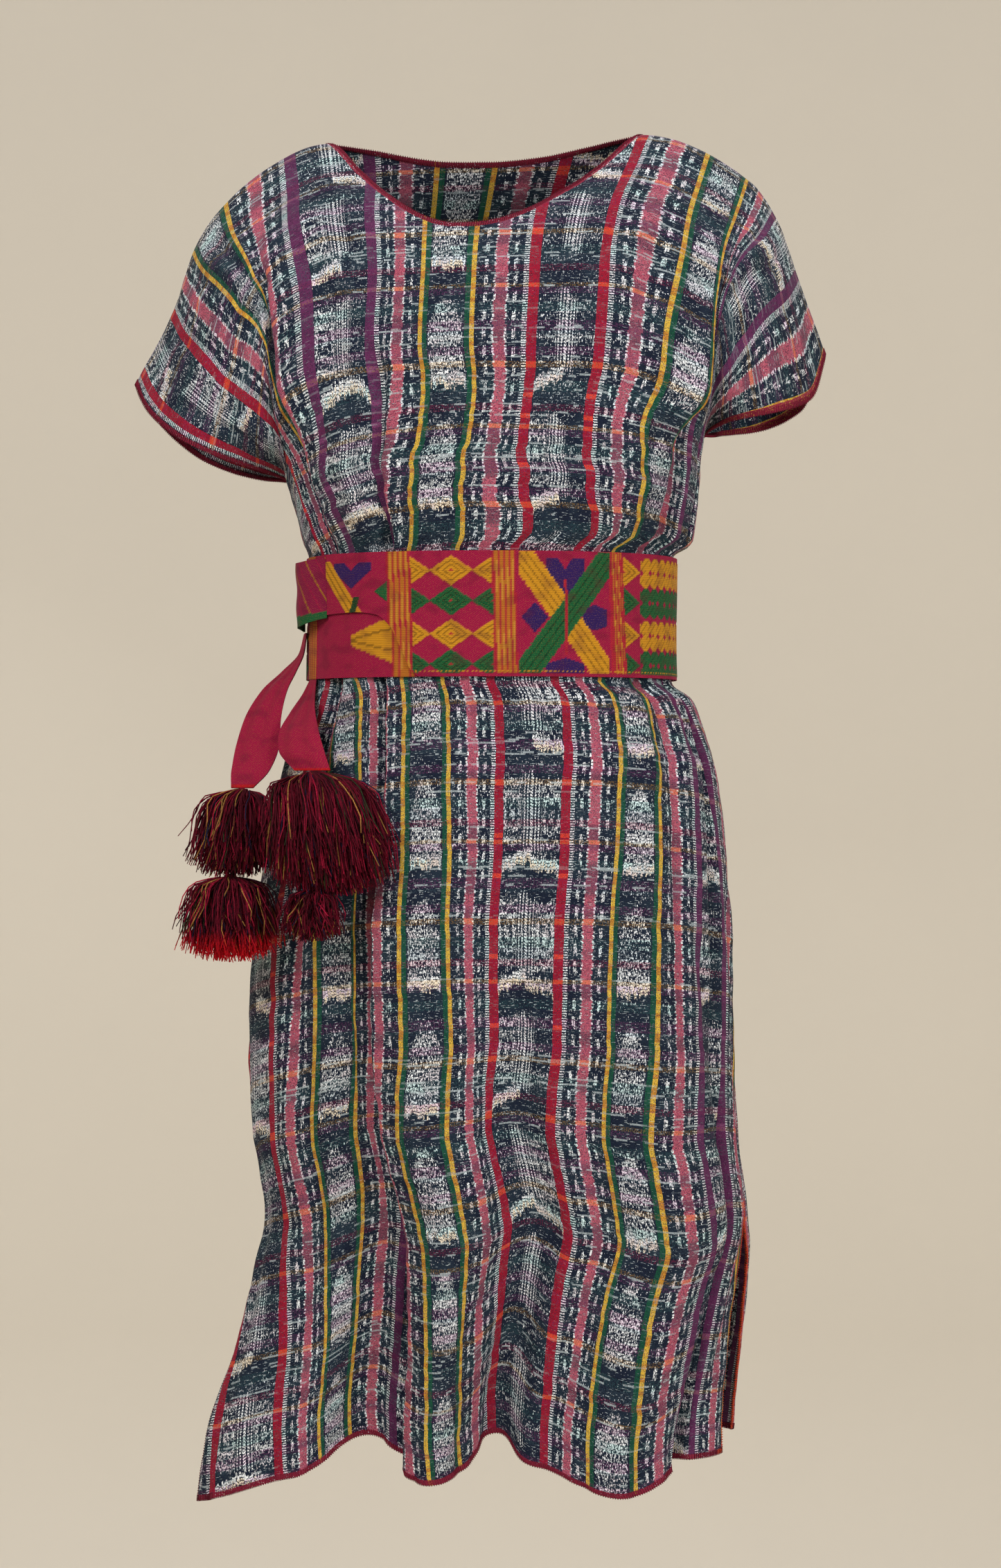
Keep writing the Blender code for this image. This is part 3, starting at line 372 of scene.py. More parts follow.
# Stripes, by their distance from the repeat's centre: the A figures lie past the paired ones
B_STRIPE = 12.0
GREEN_STRIPE = (12.8, 16.5)
YELLOW_STRIPE = (16.5, 19.9)
DASH_STRIPES = ((20.4, 33.0), (42.0, 53.0))
DASH_COLUMNS = (27.0, 47.5)
PINK_STRIPE = (33.0, 42.0)
PINK_HEART = (33.5, 41.5)
LADDER_STRIPE = (53.0, 56.6)
PAIRED_STRIPE = (56.6, 64.0)
# White shows where the noise of the dashes is over these levels
DASH_LEVELS = {
    "fret": 0.48, "between frets": 0.64, "cap": 0.40, "under cap": 0.69,
    "tree": 0.52, "base": 0.40, "beside tree": 0.67, "over tree": 0.70,
    "column": 0.44, "loose": 0.685,
}
GREEN_WARP = (0.006, 0.062, 0.030)
YELLOW = (0.58, 0.36, 0.040)
AMBER = (0.46, 0.20, 0.022)
PINK = (0.40, 0.085, 0.125)
MAUVE = (0.20, 0.055, 0.085)
CORAL = (0.66, 0.15, 0.095)
RED = (0.27, 0.005, 0.020)
SCARLET = (0.56, 0.040, 0.022)
PURPLE = (0.095, 0.018, 0.066)
VIOLET = (0.175, 0.040, 0.115)
NAVY = (0.0060, 0.0095, 0.0210)
SLATE = (0.012, 0.022, 0.034)
PALE = (0.88, 0.90, 0.90)
CREAM = (0.86, 0.74, 0.56)
BLUSH = (0.72, 0.60, 0.64)
LIGHT_PICK = (0.36, 0.41, 0.42)
SHADOW = (0.002, 0.003, 0.006)
# Weft yarns: colour, tint they give the white of the warp, and how much they fire up the reds
WEFTS = {
    "navy": (NAVY, PALE, 0.0),
    "plum": ((0.050, 0.014, 0.045), (0.82, 0.70, 0.80), 0.0),
    "teal": ((0.012, 0.034, 0.040), (0.68, 0.86, 0.84), 0.0),
    "olive": ((0.105, 0.060, 0.020), (0.84, 0.76, 0.64), 0.8),
    "wine": ((0.070, 0.009, 0.028), (0.82, 0.66, 0.71), 0.0),
    "slate": ((0.016, 0.028, 0.040), (0.76, 0.84, 0.88), 0.0),
}
# Bands of weft down the cloth: length in millimetres and yarn
WEFT_REPEAT = 97
WEFT_BANDS = (
    (8, "navy"), (6, "plum"), (4, "navy"), (4, "olive"), (9, "navy"), (7, "teal"), (8, "slate"),
    (5, "wine"), (9, "navy"), (3, "olive"), (5, "plum"), (6, "navy"), (7, "teal"), (6, "navy"),
    (7, "plum"), (3, "slate"))
OVERLOCK = (0.165, 0.012, 0.028)
OVERLOCK_BRIGHT = (0.60, 0.060, 0.022)
# Overlock: width of its red on the cloth in mm, and the thread's radius, lift and turn in m
EDGE_THREAD = 3.6
THREAD_RADIUS, THREAD_LIFT, THREAD_TURN = 0.00030, 0.0004, 0.0005

# Sash colours
MAGENTA = (0.215, 0.0040, 0.031)
GOLD = (0.42, 0.185, 0.008)
GREEN = (0.006, 0.070, 0.020)
INDIGO = (0.018, 0.006, 0.062)
BAND = (0.32, 0.098, 0.010)
BAND_RED = (0.27, 0.008, 0.020)
BAND_LIGHT = (0.40, 0.180, 0.020)
TAIL_RED = (0.215, 0.0040, 0.027)
# The turned end's magenta, darkened with painted shade
SHADED_TURN_RED = (0.150, 0.0040, 0.030)
RIB_SHADE = (0.055, 0.002, 0.012)

# Yarn colours of the tassels, and how often each comes
YARNS = (
    ((0.060, 0.0022, 0.0075), 0.42), ((0.125, 0.0034, 0.0140), 0.26), ((0.25, 0.0060, 0.026), 0.10),
    ((0.25, 0.120, 0.030), 0.045), ((0.018, 0.026, 0.010), 0.035), ((0.010, 0.010, 0.030), 0.04),
    ((0.022, 0.0012, 0.0040), 0.10))
FRINGE_RED = (0.50, 0.004, 0.010)
YARN_SHADE = (0.008, 0.0006, 0.002)

# Sash motifs, in millimetres
SASH_REPEAT, REPEAT_START = 158.5, -69.0
DIAMOND_WIDTH, DIAMOND_HALF_HEIGHT = 29.6, 10.7
FLOAT_ROWS = ((13.5, GOLD), (34.5, GREEN), (57.5, GOLD), (78.5, GREEN))
LINE_SHADE = 0.4
# Folds pressed into the wraps: both ends along and down, half width and depth
UNDER_FOLDS = ((-150, 52, -60, 46, 5, 0.5),)
UPPER_FOLDS = (
    (-120, 30, -70, 44, 4, 0.5), (-60, 80, 40, 86, 4, 0.3), (100, 20, 190, 12, 5, 0.4))
TAIL_COLUMNS = 37

# Cut of the hanging ends: width in metres
TAIL_WIDTHS = {"tail_left": 0.026, "tail_front": 0.030}

# Camera, as it stood to the photo, and the room
CAMERA_AT = (0.01125, -2.4, -0.466)
VIEW_HEIGHT = 1.132
FLOOR = -2.0
WALL = 3.3
ROOM_BEND = 0.6
ROOM_SIDES = 96
SKY, SKY_STRENGTH = (0.92, 0.94, 1.0), 0.60
LIGHTS_AIM = (0, 0, -0.45)
# Lights: place, size, share of the power and colour
LIGHTS = {
    "key": ((-1.2, -2.1, 0.9), 1.4, 0.76, (0.98, 0.98, 1.0)),
    "fill": ((1.7, -1.7, -0.1), 1.6, 0.54, (0.95, 0.97, 1.0)),
    "top": ((0.0, 0.2, 2.2), 1.8, 0.34, (0.98, 0.99, 1.0)),
    "back": ((0.4, 2.3, 1.0), 1.6, 0.45, (0.98, 0.99, 1.0)),
}


def through(places, values, at):
    """Monotone cubic through the values, which keeps flat stretches flat."""
    places = np.asarray(places, float)
    values = np.asarray(values, float)
    at = np.clip(np.asarray(at, float), places[0], places[-1])
    steps = np.diff(places)
    slopes = (np.diff(values, axis=0).T / steps).T
    tangents = np.zeros_like(values)
    left, right = slopes[:-1], slopes[1:]
    agree = left * right > 0
    safe = np.where(agree, left + right, 1.0)
    tangents[1:-1] = np.where(agree, 2 * left * right / safe, 0.0)
    tangents[0] = slopes[0]
    tangents[-1] = slopes[-1]
    index = np.clip(np.searchsorted(places, at, side="right") - 1, 0, len(steps) - 1)
    step = steps[index]
    share = (at - places[index]) / step
    extra = values.ndim - 1
    share = share.reshape(share.shape + (1,) * extra)
    step = step.reshape(step.shape + (1,) * extra)
    start = (1 + 2 * share) * (1 - share) ** 2 * values[index]
    leave = share * (1 - share) ** 2 * step * tangents[index]
    arrive = share ** 2 * (3 - 2 * share) * values[index + 1]
    enter = share ** 2 * (share - 1) * step * tangents[index + 1]
    return start + leave + arrive + enter


def ease(value, start, end):
    """0 before start, 1 after end, and a smooth rise between."""
    share = np.clip((np.asarray(value, float) - start) / (end - start), 0, 1)
    return share * share * (3 - 2 * share)


def bell(offset, half_width):
    """A rounded bump, 1 at its centre and 0 beyond the half width."""
    share = np.clip(np.abs(offset) / half_width, 0, 1)
    return np.cos(share * math.pi / 2) ** 2


def unit(vectors):
    return vectors / np.maximum(np.linalg.norm(vectors, axis=-1, keepdims=True), TINY)


def section_at(height):
    rows = np.array(sorted(SECTIONS), float)
    sizes = through(rows[:, 0] * MM, rows[:, 1:], height)
    named = dict(zip(SECTION_COLUMNS[1:], np.moveaxis(sizes, -1, 0)))
    return {name: size if name == "power" else size * MM for name, size in named.items()}


def half_ring(face, height, angle):
    """Point on the front or back half of a section, at an angle from the left end."""
    sizes = section_at(height)
    left, right = sizes[face + "_left"], sizes[face + "_right"]
    depth, end = sizes[face + "_depth"], sizes[face + "_end"]
    power = 2 / sizes["power"]
    across = np.sign(np.cos(angle)) * np.abs(np.cos(angle)) ** power
    out = np.abs(np.sin(angle)) ** power
    x = (left + right) / 2 - (right - left) / 2 * across
    y = end + (depth - end) * out
    return x, OUT[face] * y


def half_ring_angles(face, height, shares):
    angles = np.linspace(0, math.pi, 361)
    x, y = half_ring(face, np.full_like(angles, height), angles)
    lengths = np.concatenate([[0], np.cumsum(np.hypot(np.diff(x), np.diff(y)))])
    return np.interp(shares, lengths / lengths[-1], angles)


def pleat_at(pleat, drop):
    rows = np.array(pleat["rows"], float) * MM
    centre, width, depth = np.moveaxis(through(rows[:, 0], rows[:, 1:], drop), -1, 0)
    begun = np.where(drop < rows[0, 0], 0.0, 1.0) * np.where(drop > rows[-1, 0], 0.0, 1.0)
    return centre, width * begun, depth * begun


def seam_calm(across, drop):
    """0 at the side seams, where both panels must meet, and 1 away from them."""
    calm = ease(across, PANEL_LEFT, PANEL_LEFT + EDGE_CALM)
    calm = calm * ease(-across, -PANEL_RIGHT, -PANEL_RIGHT + EDGE_CALM)
    return calm + (1 - calm) * ease(drop, SLIT_TOP, PANEL_LENGTH)


def wave_height(waves, across, drop):
    height = np.zeros(np.broadcast(across, drop).shape)
    for centre, half_width, rows, _ in waves.values():
        rows = np.array(rows, float) * MM
        size = through(rows[:, 0], rows[:, 1], drop) * (drop > rows[0, 0])
        height = height + size * bell(across - centre * MM, half_width * MM)
    return height * seam_calm(across, drop)


def hem_lift(waves, across, drop):
    """How far the cloth rises in the valleys and dips in the lobes, down to the hem."""
    lift = np.zeros(np.broadcast(across, drop).shape)
    for centre, half_width, _, swing in waves.values():
        lift = lift + swing * MM * bell(across - centre * MM, half_width * MM)
    return lift * ease(drop, LIFT_START, PANEL_LENGTH) * seam_calm(across, drop)


def pleat_depth(pleats, across, drop):
    depth = np.zeros(np.broadcast(across, drop).shape)
    lean = np.zeros_like(depth)
    for pleat in pleats.values():
        centre, width, deep = pleat_at(pleat, drop)
        here = deep * bell(across - centre, np.maximum(width, MM) / 2)
        depth = depth + here
        lean = lean + here * pleat["lean"]
    return depth, lean


def row_lengths(pleats, waves, drop):
    """Length left along the row up to each fine place, once pleats and waves take theirs."""
    height = wave_height(waves, FINE_ACROSS, np.full_like(FINE_ACROSS, drop))
    slope = np.gradient(height, FINE_ACROSS)
    rate = np.sqrt(np.clip(1 - slope ** 2, LEAST_SHARE, 1))
    for pleat in pleats.values():
        centre, width, deep = pleat_at(pleat, np.array(drop))
        if width <= 0 or deep <= 0:
            continue
        opening = min(pleat["opening"] * MM / float(width), 1.0)
        inside = np.abs(FINE_ACROSS - centre) < width / 2
        rate = np.where(inside, rate * opening, rate)
    steps = np.diff(FINE_ACROSS) * (rate[1:] + rate[:-1]) / 2
    return np.concatenate([[0], np.cumsum(steps)])


def yoke_row(drop, at):
    """Points along one row of the yoke and sleeves, through the guide lines, on the front."""
    drops = np.insert(np.array(GUIDE_DROPS, float) * MM, 1, FOLD_DROP)
    stations = []
    for line in YOKE_GUIDES.values():
        line = np.array(line, float) * MM
        bend = line[0] + (line[1] - line[0]) * FOLD_SHARE
        bend[1] = -FOLD_OUT
        stations.append(through(drops, np.insert(line, 1, bend, axis=0), np.array(drop)))
    stations = np.array(stations)
    marks = {}
    for name, place in GUIDE_PLACES.items():
        if abs(place) > 1:
            marks[name] = float(at(place * MM))
    for side in ("left", "right"):
        low, high = sorted((marks[side + " edge"], marks[side + " fold"]))
        for part in ("inner", "outer"):
            name = f"{side} {part} sleeve"
            marks[name] = low + (high - low) * GUIDE_PLACES[name]
    places = [marks[name] for name in YOKE_GUIDES]
    return through(places, stations, at(FINE_ACROSS))


def hang_height(share, drop):
    """Height of the cloth at a share of the row, from 0 at the left to 1."""
    rows = np.array(HANG, float) * MM
    middle, left, right = np.moveaxis(through(rows[:, 0], rows[:, 1:], drop), -1, 0)
    side = np.where(share < 0.5, left, right)
    return middle + (side - middle) * np.abs(2 * share - 1) ** HANG_POWER


def body_row(face, drop, share):
    """Points along one row of the body and skirt, on the sections at their heights."""
    height = hang_height(share, np.full_like(share, drop))
    angle = half_ring_angles(face, float(height.mean()), share)
    x, y = half_ring(face, height, angle)
    return np.stack([x, y, height], axis=1)


def grid_normals(points):
    """Unit normals of a grid of points, from its neighbours along rows and columns."""
    return unit(np.cross(np.gradient(points, axis=1), np.gradient(points, axis=0)))


def facing_out(points, face):
    """Normals of a panel's grid of points, turned away from the wearer."""
    normals = grid_normals(points)
    rows, columns = points.shape[:2]
    return normals * (OUT[face] * np.sign(normals[rows // 2, columns // 2, 1]))


def running_length(points):
    """Distance along a line of points, from 0 at the first."""
    return np.concatenate([[0], np.cumsum(np.linalg.norm(np.diff(points, axis=0), axis=1))])


def between(grid, row, column):
    """Values of a grid at places between its rows and columns."""
    i = np.clip(row.astype(int), 0, grid.shape[0] - 2)
    j = np.clip(column.astype(int), 0, grid.shape[1] - 2)
    s, t = (row - i)[..., None], (column - j)[..., None]
    upper = grid[i, j] * (1 - t) + grid[i, j + 1] * t
    lower = grid[i + 1, j] * (1 - t) + grid[i + 1, j + 1] * t
    return upper * (1 - s) + lower * s


def along_line(across, down, line):
    """How far places lie along a line and aside of it, with the line's length."""
    u0, v0, u1, v1 = line
    way = np.array((u1 - u0, v1 - v0), float)
    length = float(np.hypot(*way))
    way /= length
    reach = (across - u0) * way[0] + (down - v0) * way[1]
    aside = (across - u0) * way[1] - (down - v0) * way[0]
    return reach, aside, length


def worn_cloth(face):
    """Middle surface of one panel as worn, at every fine drop and place across."""
    pleats, waves = PLEATS[face], WAVES[face]
    base = np.zeros((len(FINE_DOWN), len(FINE_ACROSS), 3))
    for i, drop in enumerate(FINE_DOWN):
        lengths = row_lengths(pleats, waves, drop)

        def at(place, lengths=lengths):
            return np.interp(place, FINE_ACROSS, lengths)

        worn = float(ease(drop, ARMHOLE_DEPTH, ARMHOLE_DEPTH + BODY_BLEND))
        if worn < 1:
            yoke = yoke_row(drop, at)
            depth = np.abs(yoke[:, 1]) * (1 if face == "front" else BACK_YOKE_DEPTH)
            yoke[:, 1] = OUT[face] * depth
            base[i] += (1 - worn) * yoke
        if worn > 0:
            base[i] += worn * body_row(face, drop, lengths / lengths[-1])
    outward = facing_out(base, face)
    along = unit(np.gradient(base, axis=1))
    places, drops = np.meshgrid(FINE_ACROSS, FINE_DOWN)
    out = wave_height(waves, places, drops)
    deep, lean = pleat_depth(pleats, places, drops)
    cloth = base + outward * (out - deep)[..., None] + along * lean[..., None]
    cloth[..., 2] += hem_lift(waves, places, drops)
    return cloth


def sample_cloth(surface, across, drops):
    """Points of the worn cloth between its fine rows and places."""
    row = np.interp(drops, FINE_DOWN, np.arange(len(FINE_DOWN)))
    column = np.interp(across, FINE_ACROSS, np.arange(len(FINE_ACROSS)))
    return between(surface, row, column)


def stripe_drift(across, drops):
    """How far the stripes of the front lie aside of a straight fall."""
    rows = np.array(DRIFT, float) * MM
    shifts = through(rows[:, 0], rows[:, 1:], drops)
    places = np.array(DRIFT_PLACES, float) * MM
    column = np.interp(across, places, np.arange(len(places)))
    j = np.clip(column.astype(int), 0, len(places) - 2)
    share = column - j
    share = share * share * (3 - 2 * share)
    low = np.take_along_axis(shifts, j[..., None], -1)[..., 0]
    high = np.take_along_axis(shifts, j[..., None] + 1, -1)[..., 0]
    return low + (high - low) * share


def neck_drop(face, across):
    """How far down the cloth the neck scoop is cut."""
    middle = (NECK_LEFT + NECK_RIGHT) / 2
    share = np.abs(across - middle) / ((NECK_RIGHT - NECK_LEFT) / 2)
    return NECK_DEPTH[face] * np.clip(1 - share ** NECK_ROUNDNESS, 0, 1)


def crease_depth(face, across, drops):
    """How far the fine creases go in, placed by their tables, plus the cloth's unevenness."""
    u, v = across / MM, drops / MM
    depth = np.zeros(np.broadcast(u, v).shape)
    for *line, half, deep in CREASES[face]:
        reach, aside, length = along_line(u, v, line)
        start, end = line[1], line[3]
        bow = CREASE_BOW * length * np.sin(math.pi * np.clip(reach / length, 0, 1))
        fade = min(CREASE_FADE * length, LONGEST_FADE)
        ends = ease(reach, 0, fade) * ease(length - reach, 0, fade)
        if end >= HEM_EDGE:
            ends = ease(reach, 0, fade)
        if SASH_LOWER_EDGE[0] <= start < SASH_LOWER_EDGE[1]:
            ends = ease(reach, -2, 6) * ease(length - reach, 0, GATHER_FADE * length)
        if SASH_UPPER_EDGE[0] <= end < SASH_UPPER_EDGE[1]:
            ends = ease(reach, 0, GATHER_FADE * length) * ease(length - reach, -2, 6)
        depth = depth + deep * ends * bell(aside - bow, half)
        ridge = bell(np.abs(aside - bow) - RIDGE_PLACE * half, half)
        depth = depth - RIDGE_HEIGHT * deep * ends * ridge
    turn = UNEVEN_TURN
    for wide, tall, height in UNEVEN:
        turn += UNEVEN_STEP
        sway = 0.8 * np.sin(math.tau * u / (2.3 * wide))
        across_wave = np.sin(math.tau * u / wide + turn)
        depth = depth + height * across_wave * np.sin(math.tau * v / tall + 2 * turn + sway)
    return depth * MM


def waist_calm(points):
    """0 under the sash, where the cloth is held, and 1 away from it."""
    above = ease(points[..., 2], SASH_TOP - 0.002, SASH_TOP + 0.008)
    below = ease(-points[..., 2], -SASH_BOTTOM - 0.002, -SASH_BOTTOM + 0.008)
    return np.maximum(above, below)


def edge_distance(face, across, drops):
    """Distance in millimetres to the nearest overlocked edge of the panel."""
    hem = PANEL_LENGTH - drops
    open_side = (drops < ARMHOLE_DEPTH) | (drops > SLIT_TOP)
    side = np.minimum(across - PANEL_LEFT, PANEL_RIGHT - across)
    side = np.where(open_side, side, 1.0)
    cut = neck_drop(face, across)
    slope = np.gradient(cut, axis=1) / np.maximum(np.gradient(across, axis=1), TINY)
    neck = (drops - cut) / np.sqrt(1 + slope ** 2)
    neck = np.where(cut > 0, neck, np.minimum(
        np.hypot(across - NECK_LEFT, drops), np.hypot(across - NECK_RIGHT, drops)))
    return np.minimum(np.minimum(hem, side), neck) / MM


def wall(name, outer, inner, material, facing, cloth, layers=None):
    """A closed wall between two grids of points, with its cloth places and colour layers."""
    rows, columns = outer.shape[:2]
    index = np.arange(rows * columns).reshape(rows, columns)
    count = index.size
    quads = np.stack([index[:-1, :-1], index[:-1, 1:], index[1:, 1:], index[1:, :-1]], -1)
    quads = quads.reshape(-1, 4)
    border = np.concatenate(
        [index[0, :-1], index[:-1, -1], index[-1, :0:-1], index[:0:-1, 0]])
    after = np.roll(border, -1)
    rim = np.stack([after, border, border + count, after + count], -1)
    faces = np.concatenate([quads, quads[:, ::-1] + count, rim])
    points = np.concatenate([outer.reshape(-1, 3), inner.reshape(-1, 3)])
    corner = points[faces]
    volume = 0.0
    for k in (1, 2):
        volume += float((corner[:, 0] * np.cross(corner[:, k], corner[:, k + 1])).sum())
    if volume < 0:
        faces = faces[:, ::-1]
    normals = np.concatenate([facing.reshape(-1, 3), -facing.reshape(-1, 3)])
    twice = {key: np.concatenate([value.reshape(count, -1)] * 2)
             for key, value in (layers or {}).items()}
    return mesh_piece(name, points, faces.tolist(), material, normals,
                      np.concatenate([cloth.reshape(-1, 2)] * 2), twice)


def mesh_piece(name, points, faces, material, normals=None, cloth=None, layers=None):
    """A new object from points and a list of faces, with its cloth places and layers."""
    mesh = bpy.data.meshes.new(name)
    mesh.from_pydata(points.tolist(), [], faces)
    corners = np.zeros(len(mesh.loops), np.int32)
    mesh.loops.foreach_get("vertex_index", corners)
    if cloth is not None:
        places = mesh.uv_layers.new(name="cloth")
        places.data.foreach_set("uv", cloth[corners].astype(np.float32).ravel())
    for key, value in (layers or {}).items():
        if value.shape[1] == 1:
            layer = mesh.attributes.new(key, "FLOAT", "POINT")
            layer.data.foreach_set("value", value.astype(np.float32).ravel())
        else:
            layer = mesh.attributes.new(key, "FLOAT_COLOR", "POINT")
            full = np.concatenate([value, np.ones((len(value), 1))], 1)
            layer.data.foreach_set("color", full.astype(np.float32).ravel())
    mesh.shade_smooth()
    if normals is not None:
        mesh.normals_split_custom_set_from_vertices(normals.tolist())
    mesh.materials.append(material)
    piece = bpy.data.objects.new(name, mesh)
    bpy.context.scene.collection.objects.link(piece)
    return piece


def tubes(paths, radii, sides, along=(0, 0, 1)):
    """Closed tubes of few sides round many paths of the same number of points."""
    count, steps = paths.shape[:2]
    way = unit(np.gradient(paths, axis=1))
    side = np.cross(way, np.broadcast_to(np.asarray(along, float), way.shape))
    weak = np.linalg.norm(side, axis=-1, keepdims=True) < 0.05
    side = unit(np.where(weak, np.cross(way, (1.0, 0.3, 0.0)), side))
    other = np.cross(way, side)
    angle = np.arange(sides) * math.tau / sides
    ring = (side[:, :, None] * np.cos(angle)[:, None] + other[:, :, None] * np.sin(angle)[:, None])
    points = paths[:, :, None] + ring * np.broadcast_to(radii, (count, steps))[..., None, None]
    index = np.arange(count * steps * sides).reshape(count, steps, sides)
    turned = np.roll(index, -1, axis=2)
    quads = np.stack([index[:, :-1], turned[:, :-1], turned[:, 1:], index[:, 1:]], -1)
    faces = quads.reshape(-1, 4).tolist()
    faces += index[:, 0, ::-1].tolist() + index[:, -1].tolist()
    return points.reshape(-1, 3), faces


class Amount:
    """A number that changes over the cloth: a shader socket that can be added and compared."""

    def __init__(self, recipe, socket):
        self.recipe = recipe
        self.socket = socket

    def does(self, operation, *others):
        return self.recipe.math(operation, self, *others)

    def __add__(self, other):
        return self.does("ADD", other)

    def __sub__(self, other):
        return self.does("SUBTRACT", other)

    def __rsub__(self, other):
        return self.recipe.math("SUBTRACT", other, self)

    def __mul__(self, other):
        return self.does("MULTIPLY", other)

    def __truediv__(self, other):
        return self.does("DIVIDE", other)

    def __lt__(self, other):
        return self.does("LESS_THAN", other)

    def __gt__(self, other):
        return self.does("GREATER_THAN", other)

    __radd__ = __add__
    __rmul__ = __mul__

    def fract(self):
        return self.does("FRACT")

    def floor(self):
        return self.does("FLOOR")

    def abs(self):
        return self.does("ABSOLUTE")

    def most(self, other):
        return self.does("MAXIMUM", other)

    def least(self, other):
        return self.does("MINIMUM", other)

    def soft(self, low, high):
        """0 below low and 1 above high, or the other way round."""
        made = self.recipe.node("MapRange", interpolation_type="SMOOTHSTEP", clamp=True)
        for place, value in enumerate((self, low, high, 0.0, 1.0)):
            self.recipe.put(made.inputs[place], value)
        return Amount(self.recipe, made.outputs[0])

    def within(self, low, high):
        return (self > low) * (self < high)


class Recipe:
    """Adds shader nodes to one new material and joins them."""

    def __init__(self, name, roughness, sheen=0.1):
        self.material = bpy.data.materials.new(name)
        self.material.use_nodes = True
        self.tree = self.material.node_tree
        self.shader = self.tree.nodes["Principled BSDF"]
        self.shader.inputs["Roughness"].default_value = roughness
        self.shader.inputs["Specular IOR Level"].default_value = 0.10
        self.shader.inputs["Sheen Weight"].default_value = sheen
        self.shader.inputs["Sheen Roughness"].default_value = 0.5

    def node(self, kind, **settings):
        made = self.tree.nodes.new("ShaderNode" + kind)
        for key, value in settings.items():
            setattr(made, key, value)
        return made

    def put(self, socket, value):
        if isinstance(value, Amount):
            value = value.socket
        if isinstance(value, bpy.types.NodeSocket):
            self.tree.links.new(value, socket)
        elif isinstance(value, tuple) and socket.type == "RGBA":
            socket.default_value = (*value, 1)
        else:
            socket.default_value = value

    def math(self, operation, *values):
        made = self.node("Math", operation=operation)
        for socket, value in zip(made.inputs, values):
            self.put(socket, value)
        return Amount(self, made.outputs[0])

    def cloth(self):
        """Place along the cloth in millimetres, across and down."""
        parts = self.node("SeparateXYZ")
        self.tree.links.new(self.node("UVMap", uv_map="cloth").outputs[0], parts.inputs[0])
        return Amount(self, parts.outputs[0]) * 1000, Amount(self, parts.outputs[1]) * 1000

    def layer(self, name, output="Fac"):
        made = self.node("Attribute", attribute_name=name, attribute_type="GEOMETRY")
        return Amount(self, made.outputs[output])

    def noise(self, across, down=0.0, third=0.0, detail=0.0):
        place = self.node("CombineXYZ")
        for socket, value in zip(place.inputs, (across, down, third)):
            self.put(socket, value)
        made = self.node("TexNoise")
        self.tree.links.new(place.outputs[0], made.inputs["Vector"])
        made.inputs["Scale"].default_value = 1.0
        made.inputs["Detail"].default_value = detail
        return Amount(self, made.outputs[0])

    def speckle(self, scale):
        """Noise that is fixed to the object."""
        place = self.node("TexCoord")
        made = self.node("TexNoise")
        made.inputs["Scale"].default_value = scale
        self.tree.links.new(place.outputs["Object"], made.inputs["Vector"])
        return Amount(self, made.outputs[0])

    def chance(self, number, other=None):
        """A fixed random number from 0 to 1 for each whole number, or pair of them."""
        made = self.node("TexWhiteNoise", noise_dimensions="1D" if other is None else "2D")
        if other is None:
            self.put(made.inputs["W"], number)
        else:
            place = self.node("CombineXYZ")
            self.put(place.inputs[0], number)
            self.put(place.inputs[1], other)
            self.tree.links.new(place.outputs[0], made.inputs["Vector"])
        return Amount(self, made.outputs[0])

    def mix(self, share, first, second, blend="MIX"):
        made = self.node("Mix", data_type="RGBA", blend_type=blend)
        self.put(made.inputs[0], share)
        self.put(made.inputs[6], first)
        self.put(made.inputs[7], second)
        return Amount(self, made.outputs[2])

    def bands(self, share, stops, interpolation="CONSTANT"):
        """Colours one after the other along a share from 0 to 1."""
        made = self.node("ValToRGB")
        made.color_ramp.interpolation = interpolation
        elements = made.color_ramp.elements
        for place, colour in stops[2:]:
            elements.new(place)
        for element, (place, colour) in zip(elements, sorted(stops)):
            element.position = place
        for element, (place, colour) in zip(elements, sorted(stops)):
            element.color = (*colour, 1)
        self.put(made.inputs[0], share)
        return Amount(self, made.outputs[0])

    def finish(self, colour, height=None, strength=0.4, distance=0.0005):
        self.put(self.shader.inputs["Base Color"], colour)
        if height is not None:
            made = self.node("Bump")
            made.inputs["Strength"].default_value = strength
            made.inputs["Distance"].default_value = distance
            self.put(made.inputs["Height"], height)
            self.tree.links.new(made.outputs[0], self.shader.inputs["Normal"])
        return self.material


